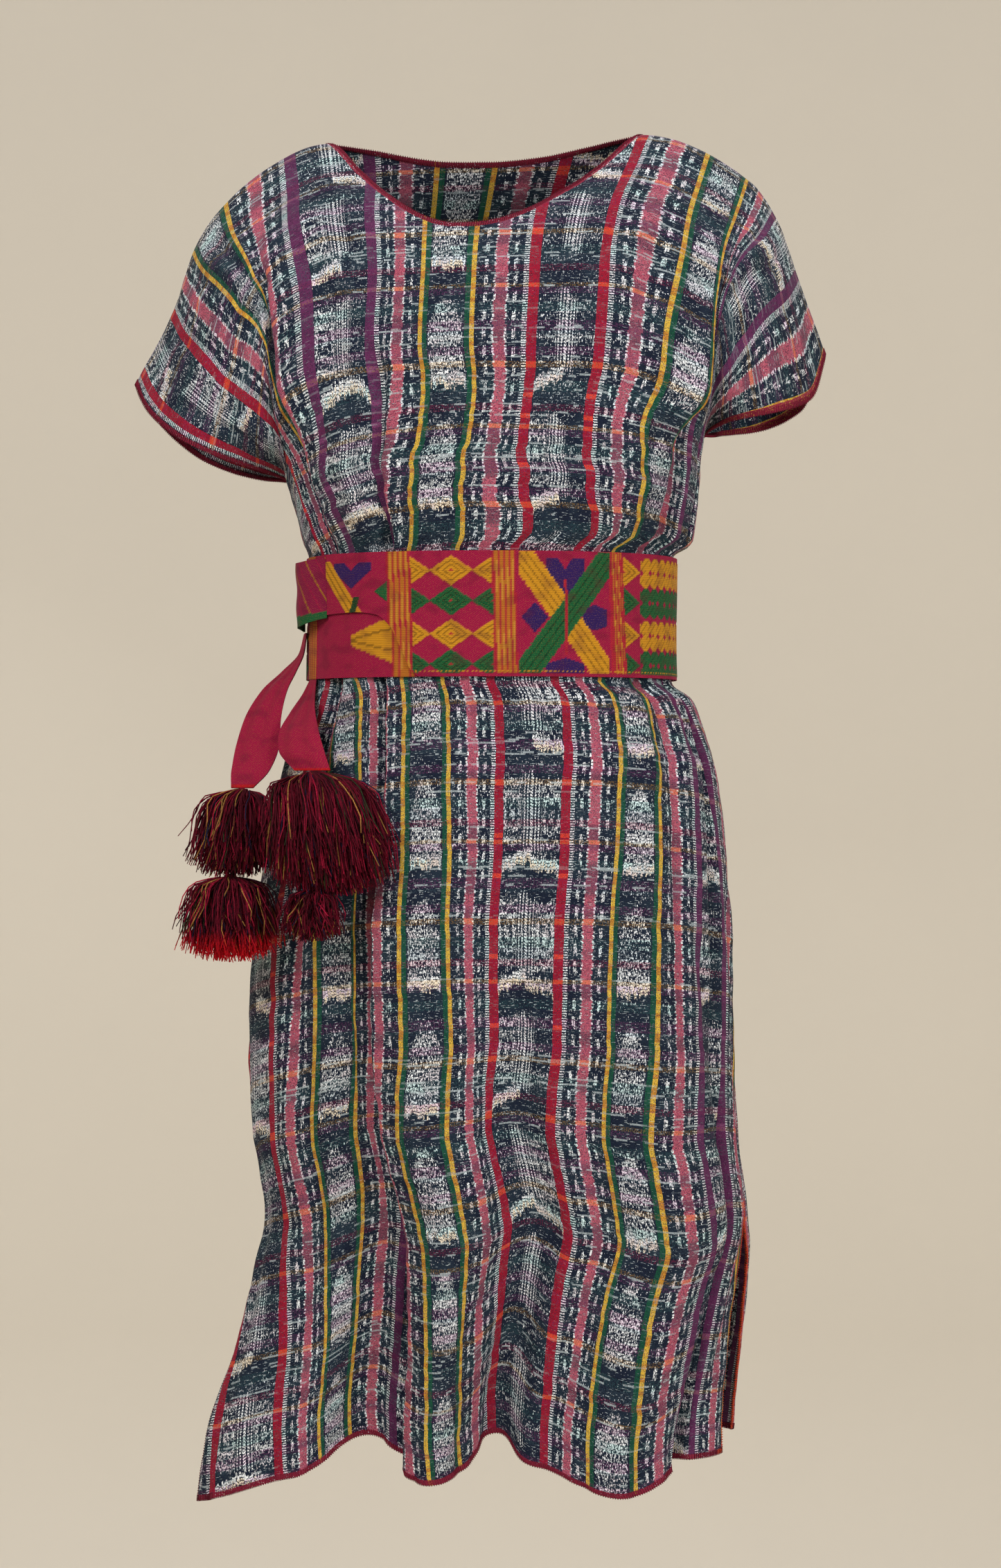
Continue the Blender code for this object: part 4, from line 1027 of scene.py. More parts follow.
class Ikat:
    """The ikat's repeat over the cloth: its figures, its stripes and its bands of weft."""

    def __init__(self, r):
        u, v = r.cloth()
        self.r, self.u, self.v = r, u, v
        self.yarn = (u / YARN_PITCH).floor()
        self.shift = r.chance(self.yarn) - 0.5
        self.pick = (v / PICK_PITCH).floor()
        wobble = (r.noise(v / 60, 3.0) - 0.5) * 2.4
        ragged = (r.chance(self.pick, 4.0) - 0.5) * 1.3
        turns = (u + wobble + REPEAT / 2) / REPEAT
        self.p = (turns.fract() * REPEAT - REPEAT / 2).abs()
        self.worn_p = self.p + ragged
        # Ikat figures are dyed along the warp, so each yarn carries them higher or lower
        dyed = v + self.shift * 5.0 + (r.noise(u / 11, 7.0) - 0.5) * 7.0
        uneven = (r.chance(turns.floor(), 9.0) - 0.5) * 8.0
        figure = (dyed - FIGURE_START + uneven) / FIGURE
        self.cell = figure.fract() * FIGURE
        self.kind = r.chance(figure.floor(), turns.floor())
        gathered = (r.noise(v / 8, u / 70, 13.0) - 0.5) * 0.26
        self.dashes = r.noise(u / 0.8, v / 2.9, detail=1.0) + gathered
        self.grain = r.noise(u / 0.8, v / 1.3, 5.0)
        self.cloud = r.noise(u / 14, v / 18, 2.0)
        self.a_zone = self.p > PAIRED_STRIPE[1]
        self.b_zone = self.p < B_STRIPE

    def shows(self, place):
        """Where the white dashes of a place show."""
        return self.dashes > DASH_LEVELS[place]

    def pins(self):
        """A figures: upright pins, nested frets on both sides and a pale arch below."""
        q, cell = REPEAT / 2 - self.p, self.cell
        upright = ((q / 2.45).fract() < 0.40) * (q < 7.6)
        self.pin = upright * ((self.v / 2.1 + self.shift * 2).fract() < 0.66)
        nest = ((q - 15.0).abs() * 1.05).most((cell - 27.0).abs() * 0.52)
        fret = ((nest / 4.7).fract() < 0.48) * (q > 7.5) * (self.kind > 0.42)
        body = cell < 52.0
        self.arch = cell - q * q * 0.016
        self.cap = self.arch.within(54.0, 63.0) * (self.kind > 0.40)
        dashed = (fret * self.shows("fret")).most(self.shows("between frets"))
        white = (body * self.pin.most(dashed)).most(self.cap * self.shows("cap"))
        below = (1.0 - body) * (1.0 - self.cap)
        return white.most(below * self.shows("under cap"))

    def trees(self):
        """B figures: a tree that widens downwards on a pale base."""
        tree = (self.cell * 0.42 + 1.2).least(11.6)
        in_tree = (self.p < tree) * self.cell.within(4.0, 60.0)
        self.base = self.cell.within(58.0, 66.0) * (self.kind > 0.35)
        white = (in_tree * self.shows("tree")).most(self.base * self.shows("base"))
        white = white.most((self.p > tree) * self.shows("beside tree"))
        return white.most(self.shows("over tree"))

    def dash_columns(self):
        """Loose columns of dashes on the plain stripes."""
        left, right = ((self.p - place).abs() < 1.3 for place in DASH_COLUMNS)
        dash = ((self.v + self.shift * 4.0) / 12.6).fract() < 0.56
        return (left.most(right) * dash * self.shows("column")).most(self.shows("loose"))

    def edgings(self):
        """A ladder beside the paired stripe, and white teeth along the pink one."""
        ladder = self.p.within(*LADDER_STRIPE) * ((self.v / 1.75).fract() < 0.5)
        near, far = ((self.worn_p - edge).abs() < 0.8 for edge in PINK_STRIPE)
        teeth = (self.v / 4.6 + self.r.chance(self.pick, 2.0)).fract() < 0.5
        return ladder.most(near.most(far) * teeth)

    def white(self):
        """Where the warp was left undyed, with dark picks across it."""
        first, second = (self.p.within(*stripe) for stripe in DASH_STRIPES)
        white = (self.a_zone * self.pins()).most(self.b_zone * self.trees())
        white = white.most(first.most(second) * self.dash_columns()).most(self.edgings())
        crossed = ((self.v + self.shift * 1.6) / 2.3).fract() < 0.27
        crossed = crossed * (self.r.noise(self.u / 3.5, self.v / 2.3, 17.0) > 0.40)
        return white * (1.0 - crossed)

    def weft(self):
        """Bands of the weft: its colour, its tint on the white and its glow in the reds."""
        r = self.r
        along = ((self.v + (r.noise(self.u / 40, 8.0) - 0.5) * 1.5) / WEFT_REPEAT).fract()
        place = 0.0
        stops = ([], [], [])
        for length, name in WEFT_BANDS:
            colour, tint, glow = WEFTS[name]
            for ramp, value in zip(stops, (colour, tint, (glow, glow, glow))):
                ramp.append((place / WEFT_REPEAT, value))
            place += length
        return [r.bands(along, ramp) for ramp in stops]

    def stripes(self, glow):
        """Colours of the dyed warp, fired up where bright wefts cross it."""
        r, u, v, p = self.r, self.u, self.v, self.p
        warp = r.mix(self.cloud.soft(0.35, 0.7), NAVY, SLATE)
        warp = r.mix(p.within(*GREEN_STRIPE), warp, GREEN_WARP)
        amber = (r.noise(v / 9, 1.0) > 0.54).most(glow)
        warp = r.mix(p.within(*YELLOW_STRIPE), warp, r.mix(amber, YELLOW, AMBER))
        rosy = r.mix(r.noise(v / 16, 6.5).soft(0.44, 0.58), PINK, MAUVE)
        warp = r.mix(self.worn_p.within(*PINK_STRIPE), warp, r.mix(glow, rosy, CORAL))
        odd = (((u + REPEAT / 2) / REPEAT - 0.5).floor() * 0.5).fract() > 0.25
        bright = (r.noise(v / 7, 6.0) > 0.66).most(glow)
        paired = r.mix(bright, r.mix(odd, RED, PURPLE), r.mix(odd, SCARLET, VIOLET))
        return r.mix(p.within(*PAIRED_STRIPE), warp, paired)

    def pale(self, tint):
        """Colour of the undyed warp, creamy in the lower parts of the figures."""
        r = self.r
        creamy = self.cap * (self.arch > 58.0) * self.a_zone
        creamy = (creamy + self.base * self.b_zone * (self.cell > 61.0)) * (self.kind > 0.30)
        pale = r.mix(creamy.least(1.0) * (r.chance(self.yarn, 3.0) > 0.25), tint, CREAM)
        return r.mix(self.cloud.soft(0.52, 0.62) * 0.5, pale, BLUSH)

    def woven(self, warp, weft):
        """The weft between the warp yarns, with pale picks that float over them here and there."""
        r, u, v, p = self.r, self.u, self.v, self.p
        solid = (p.within(*YELLOW_STRIPE).most(p.within(*GREEN_STRIPE)) * 0.75)
        solid = solid.most(p.within(*PAIRED_STRIPE)).most(p.within(*PINK_HEART) * 0.30)
        over = (self.grain > 0.54) * 0.72 + 0.05 - solid * 0.14 - self.pin * self.a_zone * 0.25
        colour = r.mix(over.most(0.0).least(0.85), warp, weft)
        row = (v / 1.25).floor()
        slub = (r.chance(row, 5.0) > 0.86) * (r.noise(u / 11, row * 3.7) > 0.57)
        level = r.noise(u / 4.6, v / 0.62, 11.0, detail=1.0)
        light = (level > 0.665).most(slub * 0.7) * (1.0 - solid * 0.75)
        colour = r.mix(light * 0.8, colour, LIGHT_PICK)
        return r.mix((0.52 - self.grain).most(0.0) * 2.2, colour, SHADOW)


def ikat_cotton():
    """The dress cloth: stripes and ikat figures in the warp, bands of colour in the weft."""
    r = Recipe("handwoven_ikat_cotton", roughness=0.9, sheen=0.02)
    ikat = Ikat(r)
    white = ikat.white()
    weft, tint, glow = ikat.weft()
    colour = ikat.woven(r.mix(white, ikat.stripes(glow), ikat.pale(tint)), weft)
    # Overlocked edges
    u, v = ikat.u, ikat.v
    near = r.layer("edge") < EDGE_THREAD
    thread = r.mix(r.layer("edge_bright"), OVERLOCK, OVERLOCK_BRIGHT)
    colour = r.mix(near * (r.noise(u / 0.7, v / 0.7) > 0.34), colour, thread)
    height = ((u / 1.1).fract() - 0.5).abs() + ((v / 1.1).fract() - 0.5).abs() + ikat.dashes
    return r.finish(colour, height, 0.35, 0.0004)


def brocade_cotton():
    """The sash cloth: colours charted on the mesh, over slanting ribs and floating yarns."""
    r = Recipe("brocaded_cotton", roughness=0.85, sheen=0.03)
    s, h = r.cloth()
    charted = r.layer("brocade", "Color")
    raised = r.layer("raised")
    rib = (((s * 0.75 + h) / 1.5).fract() - 0.5).abs() * 2
    float_rib = ((h / 1.25).fract() - 0.5).abs() * 2
    tick = r.noise(s / 0.7, h / 0.7, 4.0)
    cloud = r.noise(s / 12, h / 9, 1.0)
    colour = r.mix(rib.soft(0.35, 0.9) * (1.0 - raised) * 0.30, charted, RIB_SHADE)
    colour = r.mix(float_rib.soft(0.4, 0.95) * raised * 0.35, colour, SHADOW)
    colour = r.mix((tick > 0.64) * 0.12, colour, BAND_LIGHT)
    colour = r.mix(cloud.soft(0.5, 0.75) * 0.3, colour, RIB_SHADE)
    height = rib * (1.0 - raised) * 0.6 + float_rib * raised + raised * 0.8 + tick * 0.5
    return r.finish(colour, height, 0.55, 0.0005)


def tassel_wool(name):
    """Tassel and overlock yarn, in the colour that each strand carries."""
    r = Recipe(name, roughness=0.95, sheen=0.0)
    fleck = r.speckle(900)
    tone = r.mix(fleck.soft(0.35, 0.75) * 0.5, r.layer("yarn", "Color"), YARN_SHADE)
    return r.finish(tone, fleck, 0.3, 0.0003)


def sample_shell(shell, across, drops, values):
    """Values of the finished shell at cloth places, found on its own rows and columns."""
    cut = neck_drop(shell["face"], across)
    rows = np.linspace(0, PANEL_LENGTH, SHELL_ROWS)
    fade = np.maximum(0.0, 1 - rows / NECK_FADE)
    found = np.empty(len(across))
    for k, (c, d) in enumerate(zip(cut, drops)):
        found[k] = np.interp(d, rows + c * fade, np.arange(SHELL_ROWS))
    column = np.interp(across, shell["across"], np.arange(SHELL_COLUMNS))
    return between(values, found, column)


def dress_shells(looks):
    """Points, normals and cloth places of both panels, joined over the shoulder fold."""
    across = np.linspace(PANEL_LEFT, PANEL_RIGHT, SHELL_COLUMNS)
    down = np.linspace(0, PANEL_LENGTH, SHELL_ROWS)[:, None]
    shells = {}
    for face in OUT:
        fade = np.maximum(0.0, 1 - down / NECK_FADE)
        drops = down + neck_drop(face, across)[None, :] * fade
        places = np.broadcast_to(across, drops.shape)
        middle = sample_cloth(worn_cloth(face), places, drops)
        calm = waist_calm(middle) * ease(drops, 0, 0.02)
        depth = crease_depth(face, places, drops) * calm * looks.crease_strength
        middle = middle - facing_out(middle, face) * depth[..., None]
        shells[face] = {"face": face, "across": across, "drops": drops, "places": places,
                        "points": middle, "normals": facing_out(middle, face)}
    outside = (across <= NECK_LEFT) | (across >= NECK_RIGHT)
    shared = unit(shells["front"]["normals"][0] + shells["back"]["normals"][0])
    for shell in shells.values():
        normals = shell["normals"]
        normals[0, outside] = shared[outside]
        seam = (shell["drops"] >= ARMHOLE_DEPTH) & (shell["drops"] <= SLIT_TOP)
        for j in (0, -1):
            held = normals[:, j] * (1, SEAM_SOFTNESS, 1)
            normals[:, j] = np.where(seam[:, j, None], unit(held), normals[:, j])
    return shells


def overlock_thread(shell, across, drops, inward, looks):
    """Stitches over one edge: a thread that goes over the edge and back, pitch by pitch."""
    at = sample_shell(shell, across, drops, shell["points"])
    n = unit(sample_shell(shell, across, drops, shell["normals"]))
    inner = sample_shell(shell, across + inward[0] * MM, drops + inward[1] * MM, shell["points"])
    length = running_length(at)
    stitches = max(4, int(length[-1] / (looks.overlock_pitch * MM)))
    places = np.linspace(0, length[-1], stitches * 4 + 1)
    at, n, into = (np.stack([np.interp(places, length, values[:, k]) for k in range(3)], 1)
                   for values in (at, n, unit(inner - at)))
    lift = looks.cloth_thickness * MM / 2 + THREAD_LIFT
    reach = looks.overlock_width * MM
    corner = np.arange(len(places)) % 4
    deep = np.choose(corner, (reach, -THREAD_TURN, -THREAD_TURN, reach))
    side = np.choose(corner, (lift, lift, -lift, -lift))
    return at + into * deep[:, None] + n * side[:, None]


def overlock(shells, looks):
    """All the stitching of the neck, cuffs, slits and hem, as one yarn mesh a panel."""
    made = {}
    neck = np.linspace(NECK_LEFT, NECK_RIGHT, 160)
    hem = np.linspace(PANEL_LEFT, PANEL_RIGHT, 200)
    cuff = np.linspace(0.001, ARMHOLE_DEPTH, 60)
    slit = np.linspace(SLIT_TOP, PANEL_LENGTH, 60)
    for face, shell in shells.items():
        runs = {
            "neck": (neck, neck_drop(face, neck), (0, 4)),
            "hem": (hem, np.full_like(hem, PANEL_LENGTH), (0, -4)),
        }
        for kind, drops in (("cuff", cuff), ("slit", slit)):
            for side, edge, way in (("left", PANEL_LEFT, 4), ("right", PANEL_RIGHT, -4)):
                runs[f"{side} {kind}"] = (np.full_like(drops, edge), drops, (way, 0))
        points, faces, tints = [], [], []
        start = 0
        for name, (across, drops, inward) in runs.items():
            path = overlock_thread(shell, across, drops, inward, looks)
            more, found = tubes(path[None], THREAD_RADIUS, 3, along=(0.3, 0.2, 1))
            points.append(more)
            faces += [[corner + start for corner in one] for one in found]
            colour = OVERLOCK_BRIGHT if name == "right slit" else OVERLOCK
            tints.append(np.broadcast_to(colour, (len(more), 3)))
            start += len(more)
        made[face] = (np.concatenate(points), faces, np.concatenate(tints))
    return made


def waist_ring(height, turn, out):
    """Points round the waist, from its left end over the front, moved outwards."""
    turn = np.asarray(turn, float)
    height = np.broadcast_to(height, turn.shape)

    def around(turn):
        turn = turn % math.tau
        front = half_ring("front", height, np.minimum(turn, math.pi))
        back = half_ring("back", height, math.tau - np.maximum(turn, math.pi))
        return np.where(turn <= math.pi, front, back)

    step = 0.002
    along = around(turn + step) - around(turn - step)
    along = along / np.maximum(np.hypot(*along), TINY)
    x, y = around(turn)
    return np.stack([x + along[1] * out, y - along[0] * out, height], axis=-1)


class Chart:
    """Colours and raised floats of the sash cloth, at heights h below its upper edge."""

    def __init__(self, h, ground):
        self.h = h
        self.colour = np.empty(h.shape + (3,))
        self.colour[:] = ground
        self.raised = np.zeros(h.shape)

    def brocade(self, mask, tone, lift=1.0):
        self.colour[mask] = tone
        self.raised[mask] = lift

    def clear(self, mask):
        self.brocade(mask, MAGENTA, 0)

    def line(self, mask, tone, shade=1.0):
        """Recolour a fine line, which stays as high as it is."""
        self.colour[mask] = np.array(tone) * shade

    def diamonds(self, s, mask, first, rows=FLOAT_ROWS):
        """Rows of touching diamonds with fine lines inside, gold and green in turn."""
        half = DIAMOND_WIDTH / 2
        away = np.abs((s - first + half) % DIAMOND_WIDTH - half) / (half + 1)
        for middle, tone in rows:
            level = away + np.abs(self.h - middle) / DIAMOND_HALF_HEIGHT
            here = mask & (level < 0.97)
            self.brocade(here, tone)
            fine = (np.abs(level - 0.66) < 0.045) | (np.abs(level - 0.36) < 0.045)
            self.line(here & fine, tone, 0.38)
            self.line(here & (level < 0.10), BAND_RED)

    def band(self, s, left, right, slant):
        """An upright band with straight pinstripes of red and pale orange."""
        lean = slant * self.h / 87
        inside = (s > left + lean) & (s < right + lean)
        self.brocade(inside, BAND)
        place = (s - left - lean) % ((right - left) / 4)
        self.line(inside & (place < 1.15), BAND_RED)
        self.line(inside & (place > 2.1) & (place < 2.7), BAND_LIGHT)
        self.line((np.abs(s - left - lean) < 0.7) | (np.abs(s - right - lean) < 0.7), BAND_RED)

    def crossing(self, s, mask, centre):
        """The crossed bars, gold one way and green the other, with indigo between them."""
        dx, dh = s - centre[0], self.h - centre[1]
        near = mask & (np.abs(dx) < 33) & (np.abs(dh) < 46)
        middle = np.abs(dx + 1)
        blobs = (
            (middle < 14) & (dh > -41) & (dh < -24 - middle * 0.9 + 10)
            & (dh > -41 + np.maximum(0, 5 - middle) * 1.6),
            np.abs(dx + 22) + np.abs(dh) * 0.9 < 9.5,
            (np.abs(dx - 21) < 9) & (np.abs(dh) < 9 - np.abs(dx - 21) * 0.35),
            (np.abs(dx + 0.5) < 13.5) & (dh > 28 + np.abs(dx + 0.5) * 0.3) & (dh < 40),
        )
        for blob in blobs:
            self.brocade(near & blob, INDIGO, 0.8)
        for way, tone in ((-1, GOLD), (1, GREEN)):
            away = dx * 0.80 + way * dh * 0.60
            bar = near & (np.abs(away) < 8.4)
            self.brocade(bar, tone)
            fine = (np.abs(away) < 0.45) | (np.abs(np.abs(away) - 4.2) < 0.45)
            self.line(bar & fine, tone, LINE_SHADE)
            rim = near & (np.abs(np.abs(away) - 8.4) < 0.6) & ((self.h / 2.0) % 1 < 0.5)
            self.line(rim, tone, 1.25)
        self.line(near & (np.abs(dx - 0.02 * dh) < 1.0) & (np.abs(dh) < 26), BAND_RED)

    def hatching(self, s, mask):
        """Rows of small crossed lozenges, gold and green in turn, with magenta eyes between."""
        for middle, tone in FLOAT_ROWS:
            down = self.h - middle
            here = mask & (np.abs(down) < 9.8 + 0.8 * np.abs((s / 4.7) % 2 - 1))
            self.brocade(here, tone)
            eye = np.abs((s / 9.4) % 1 - 0.5) * 9.4 / 2.1
            eye = eye + np.abs((self.h - middle + 4.9) % 9.8 - 4.9) / 2.3
            self.clear(here & (eye < 1))
            line = np.abs((s + down) % 4.7 - 2.35) < 0.35
            self.line(here & line & (eye > 1), tone, 0.45)


def sash_chart(s, h):
    """The brocade's repeat, at places along and down the sash, with its hatched stretch."""
    chart = Chart(h, MAGENTA)
    turn = (s - REPEAT_START) % SASH_REPEAT + REPEAT_START
    brocaded = h < 89
    chart.diamonds(turn, brocaded & (turn > -52.5) & (turn < 7), -52.5)
    chart.crossing(turn, brocaded & (turn > 22) & (turn < 90), (57.1, 46.0))
    chart.band(turn, -69, -52.5, 2.5)
    chart.band(turn, 5.7, 20.6, 2.4)
    hatched = (s > 99) & (s < 196)
    chart.clear(hatched)
    chart.diamonds(s, hatched & (s < 116), 101.0)
    chart.hatching(s, hatched & (s >= 116))
    dots = hatched & (np.abs((s - 128) % 11 - 2) < 0.9) & (s > 124) & (s < 140)
    for middle, _ in FLOAT_ROWS:
        chart.line(dots & (np.abs(h - middle) < 0.9), BAND_RED)
    chart.band(s, 89.7, 99.0, 4.5)
    chart.clear(h > 84.6)
    chart.line((h > 82.8) & (h < 84.2) & (s % 3 < 1.5), GOLD)
    return chart


def upper_chart(s, h):
    """The upper wrap: the repeat, and the loose end's own motifs at the left, with painted shade
    along a roll.
    """
    chart = sash_chart(s, h)
    end = s < REPEAT_START
    chart.clear(end)
    away = np.abs(s + 98)
    heart = end & (away < 16.5) & (h > 7 + np.maximum(0, 6 - away) * 0.9)
    chart.brocade(heart & (h < 25 - away * 0.75), INDIGO, 0.8)
    slant = (s + 123) * 0.78 - (h - 8) * 0.62
    bar = end & (np.abs(slant) < 5.5) & (h > 5) & (h < 43)
    chart.brocade(bar, GOLD)
    chart.line(bar & (np.abs(np.abs(slant) - 2.0) < 0.5), GOLD, LINE_SHADE)
    chart.brocade(end & (s > -78) & (h > 19) & (np.abs(h - 27.5) < (s + 79) * 0.7), GREEN)
    # A rolled strip of the green cloth, drawn at half strength: painted shade in the roll
    rolled = end & (np.abs(s + 96 + (h - 38) * 0.35) < 2.6) & (h > 31)
    chart.brocade(rolled, np.array(GREEN) * 0.5, 0.7)
    chart.band(s, -69, -53, 2.5)
    return chart


def under_chart(s, h):
    """The under wrap: the repeat runs on behind, with its own motifs at the left."""
    chart = sash_chart(s + 40, h)
    front = (s > -260) & (s < 30)
    chart.clear(front)
    quarter = front & (s > -99) & (s < -65) & (np.abs(h - 61) < 3 + (s + 100) * 0.38)
    chart.brocade(quarter, GOLD)
    fine = np.abs(np.abs(h - 61) - (s + 100) * 0.22) < 0.7
    chart.line(quarter & fine, GOLD, LINE_SHADE)
    chart.band(s, -65.5, -49, 1.5)
    chart.band(s, -156, -138, 0)
    chart.diamonds(s, front & (s < -157) & (s > -190), -172, FLOAT_ROWS[2:])
    return chart


def turn_chart(s, h):
    """The turned end, with gold threads on its inner side, ground and gold darkened with painted
    shade.
    """
    # Magenta ground darkened with painted shade of the turn
    chart = Chart(h, SHADED_TURN_RED)
    slant = (s * 0.9 + h * 0.5) % 15
    # Gold threads at 0.6 strength: painted shade of the turn
    chart.brocade(slant < 0.9, np.array(GOLD) * 0.6, 0.6)
    chart.brocade((slant > 7) & (slant < 8), MAGENTA, 0.5)
    chart.brocade(h > 38, GREEN, 0.8)
    return chart


def tail_chart(h):
    """A hanging end: plain wine red cloth, with the red tie at its very end."""
    chart = Chart(h, TAIL_RED)
    chart.brocade(h > float(h.max()) - 2, np.array(FRINGE_RED) * 0.6, 0.3)
    return chart


def sash_wall(name, outer, inner, material, facing, s, chart):
    """A closed wall of sash cloth that carries its chart."""
    return wall(name, outer, inner, material, facing, np.stack([s, chart.h], -1) * MM,
                {"brocade": chart.colour, "raised": chart.raised[..., None]})


def sash_shell(name, heights, turns, out, material, looks, draw, folds=()):
    """One layer of the sash at its distance out from the waist, with charted brocade."""
    middle = waist_ring(heights, turns, out)
    line = waist_ring(np.full_like(turns[0], SASH_MIDDLE), turns[0], out)
    length = running_length(line)
    front = turns[0] < math.pi
    zero = np.interp(0.0, line[front, 0], length[front])
    s = np.broadcast_to((length - zero) / MM, heights.shape)
    h = (SASH_TOP - heights) / MM
    chart = draw(s, h)
    normals = unit(middle - waist_ring(heights, turns, out - MM))
    bulge = 0.35 * np.sin(math.pi * np.clip(h / 87, 0, 1)) - 0.25
    wander = 0.25 * np.sin(s / 17 + 0.6 * np.sin(h / 13)) * np.sin(h / 15 + s / 53)
    lift = (bulge + wander) * MM
    for *ends, half, deep in folds:
        reach, aside, size = along_line(s, h, ends)
        fade = ease(reach, 0, 0.3 * size) * ease(size - reach, 0, 0.3 * size)
        lift = lift - deep * MM * fade * bell(aside, half)
    middle = middle + normals * lift[..., None]
    thick = looks.sash_thickness * MM
    floats = chart.raised * looks.brocade_height * MM
    facing = grid_normals(middle + normals * floats[..., None])
    facing = facing * np.sign((facing * normals).sum(-1, keepdims=True))
    outer = middle + normals * (thick / 2 + floats)[..., None]
    return sash_wall(name, outer, middle - normals * thick / 2, material, facing, s, chart)


def under_wrap(out, material, looks):
    """The wrap that lies on the dress, all round the waist."""
    turns = np.linspace(UNDER_WRAP_START, math.tau + UNDER_WRAP_START, 470)
    rows = np.linspace(SASH_TOP, SASH_BOTTOM, 60)
    heights, turns = np.meshgrid(rows, turns, indexing="ij")
    return sash_shell("sash_under_cloth", heights, turns, out, material, looks, under_chart,
                      UNDER_FOLDS)


def upper_wrap(out, material, looks):
    """The wrap that lies on the first, narrower towards its loose end."""
    turns = np.linspace(UPPER_WRAP_START, UPPER_WRAP_END, 400)
    edge = np.array(UPPER_WRAP_EDGE, float) * MM
    across = waist_ring(np.full_like(turns, SASH_TOP), turns, out)[:, 0]
    bottom = np.where(turns < math.pi, through(edge[:, 0], edge[:, 1], across), SASH_BOTTOM)
    down = np.linspace(0, 1, 96)[:, None]
    heights = SASH_TOP * (1 - down) + bottom * down
    return sash_shell("sash_upper_cloth", heights, np.broadcast_to(turns, heights.shape), out,
                      material, looks, upper_chart, UPPER_FOLDS)


def turned_end(material, looks):
    """The loose end that turns over on itself, its inner side darkened with painted shade."""
    rows = np.array(SASH_TURN, float)
    at = np.linspace(0, 1, 70)
    turns, out, top, bottom = through(np.linspace(0, 1, len(rows)), rows, at).T
    out, top, bottom = out * MM, top * MM, bottom * MM
    down = np.linspace(0, 1, 48)[:, None]
    heights = top * (1 - down) + bottom * down
    turns = np.broadcast_to(turns, heights.shape)
    middle = waist_ring(heights, turns, out)
    along = unit(np.gradient(middle, axis=1))
    normals = np.stack([along[..., 1], -along[..., 0], np.zeros_like(heights)], axis=-1)
    wave = 0.5 * np.sin(down * 11 + at * 5) * np.sin(math.pi * at) * MM
    middle = middle + normals * wave[..., None]
    s = np.broadcast_to(running_length(middle[0]) / MM, heights.shape)
    chart = turn_chart(s, (heights[0] - heights) / MM)
    half = looks.sash_thickness * MM / 2
    facing = grid_normals(middle)
    facing = facing * np.sign((facing * normals).sum(-1, keepdims=True))
    return sash_wall("sash_turn_cloth", middle + facing * half, middle - facing * half, material,
                     facing, s, chart)


def sash_tail(name, table, material, looks):
    """A hanging end of the sash, creased lengthwise and rolled at its sides."""
    rows = np.array(table, float)
    at = np.linspace(0, 1, 64)
    height, x, y, half, heading, bow = through(np.linspace(0, 1, len(rows)), rows, at).T
    share = np.linspace(-1, 1, TAIL_COLUMNS)[None, :]
    angle = np.radians(heading)[:, None]
    level = np.zeros_like(angle)
    across = np.stack([np.cos(angle), np.sin(angle), level], axis=-1)
    facing = np.stack([np.sin(angle), -np.cos(angle), level], axis=-1)
    middle = np.stack([x, y, height], axis=-1)[:, None, :]
    s = half[:, None] * share
    fade = np.sin(math.pi * at)[:, None]
    crease = 0.8 * np.cos(share * 7 + 3 * at[:, None]) * fade
    crease = crease + 0.9 * np.maximum(0, np.abs(share) - 0.75) * 4 * fade
    bulge = bow[:, None] * (1 - share ** 2) + crease
    middle = (middle + across * s[..., None] + facing * bulge[..., None]) * MM
    h = np.broadcast_to((rows[0, 0] - height)[:, None], s.shape)
    normals = grid_normals(middle)
    normals *= -np.sign(normals[-1, TAIL_COLUMNS // 2, 1])
    thin = looks.sash_thickness * MM / 2
    return sash_wall(name, middle + normals * thin, middle - normals * thin, material, normals,
                     s, tail_chart(h))


def tassel_strands(sizes, top, looks, chance):
    """Paths of many strands that leave the head all round and hang, like the solid's locks."""
    count = int(looks.strands * sizes["across"] * sizes["length"] / (0.034 * 0.048))
    axis = unit(np.array((sizes["sway_x"], sizes["sway_y"], -sizes["length"])))
    ways = unit(chance.normal(size=(count * 3, 3)))
    ways = ways[ways @ axis > -HEAD_CAP][:count]
    polar = np.arccos(np.clip(ways @ axis, -1, 1))
    share = polar / math.acos(-HEAD_CAP)
    flat = unit(ways - axis * (ways @ axis)[:, None])
    reach = share ** 0.65 * np.sqrt(chance.uniform(0.25, 1.30, len(ways)))
    spread = np.stack([flat[:, 0] * sizes["across"], flat[:, 1] * sizes["depth"],
                       np.zeros(len(ways))], 1) * reach[:, None]
    length = sizes["length"] * (1.12 - 0.55 * chance.uniform(0, 1, len(ways)) ** 1.6)
    sway = np.array((sizes["sway_x"], sizes["sway_y"], 0))
    tip = spread + sway
    tip[:, 2] -= length * (1 - LOCK_DROOP * share ** 2)
    knee = 0.74 * spread + 0.34 * sway
    knee[:, 2] = 0.8 * ways[:, 2] * sizes["head"] - 0.34 * length * (1 - 0.75 * share)
    root = ways * sizes["head"] * 0.7
    leave = ways * sizes["head"] * 1.15
    marks = np.array((0, 0.12, 0.48, 1.0))
    lines = np.stack([root, leave, knee, tip], 1)
    at = np.linspace(0, 1, 8)
    paths = np.stack([np.stack([through(marks, line[:, k], at) for k in range(3)], 1)
                      for line in lines])
    tuft = np.sin(np.arctan2(flat[:, 1], flat[:, 0]) * 9 + share * 7)[:, None] * 3.0 * MM
    paths[..., :2] += (flat[:, None, :2] * (tuft * at)[..., None])
    curl = chance.uniform(0.6, 4.2, (len(ways), 1)) * MM
    phase = chance.uniform(0, math.tau, (len(ways), 2))
    wave = at[None, :] * 9
    paths[..., 0] += curl * at * np.sin(wave + phase[:, :1])
    paths[..., 1] += curl * at * np.cos(wave * 0.8 + phase[:, 1:])
    return paths + np.array(top) - np.array((0, 0, sizes["head"]))


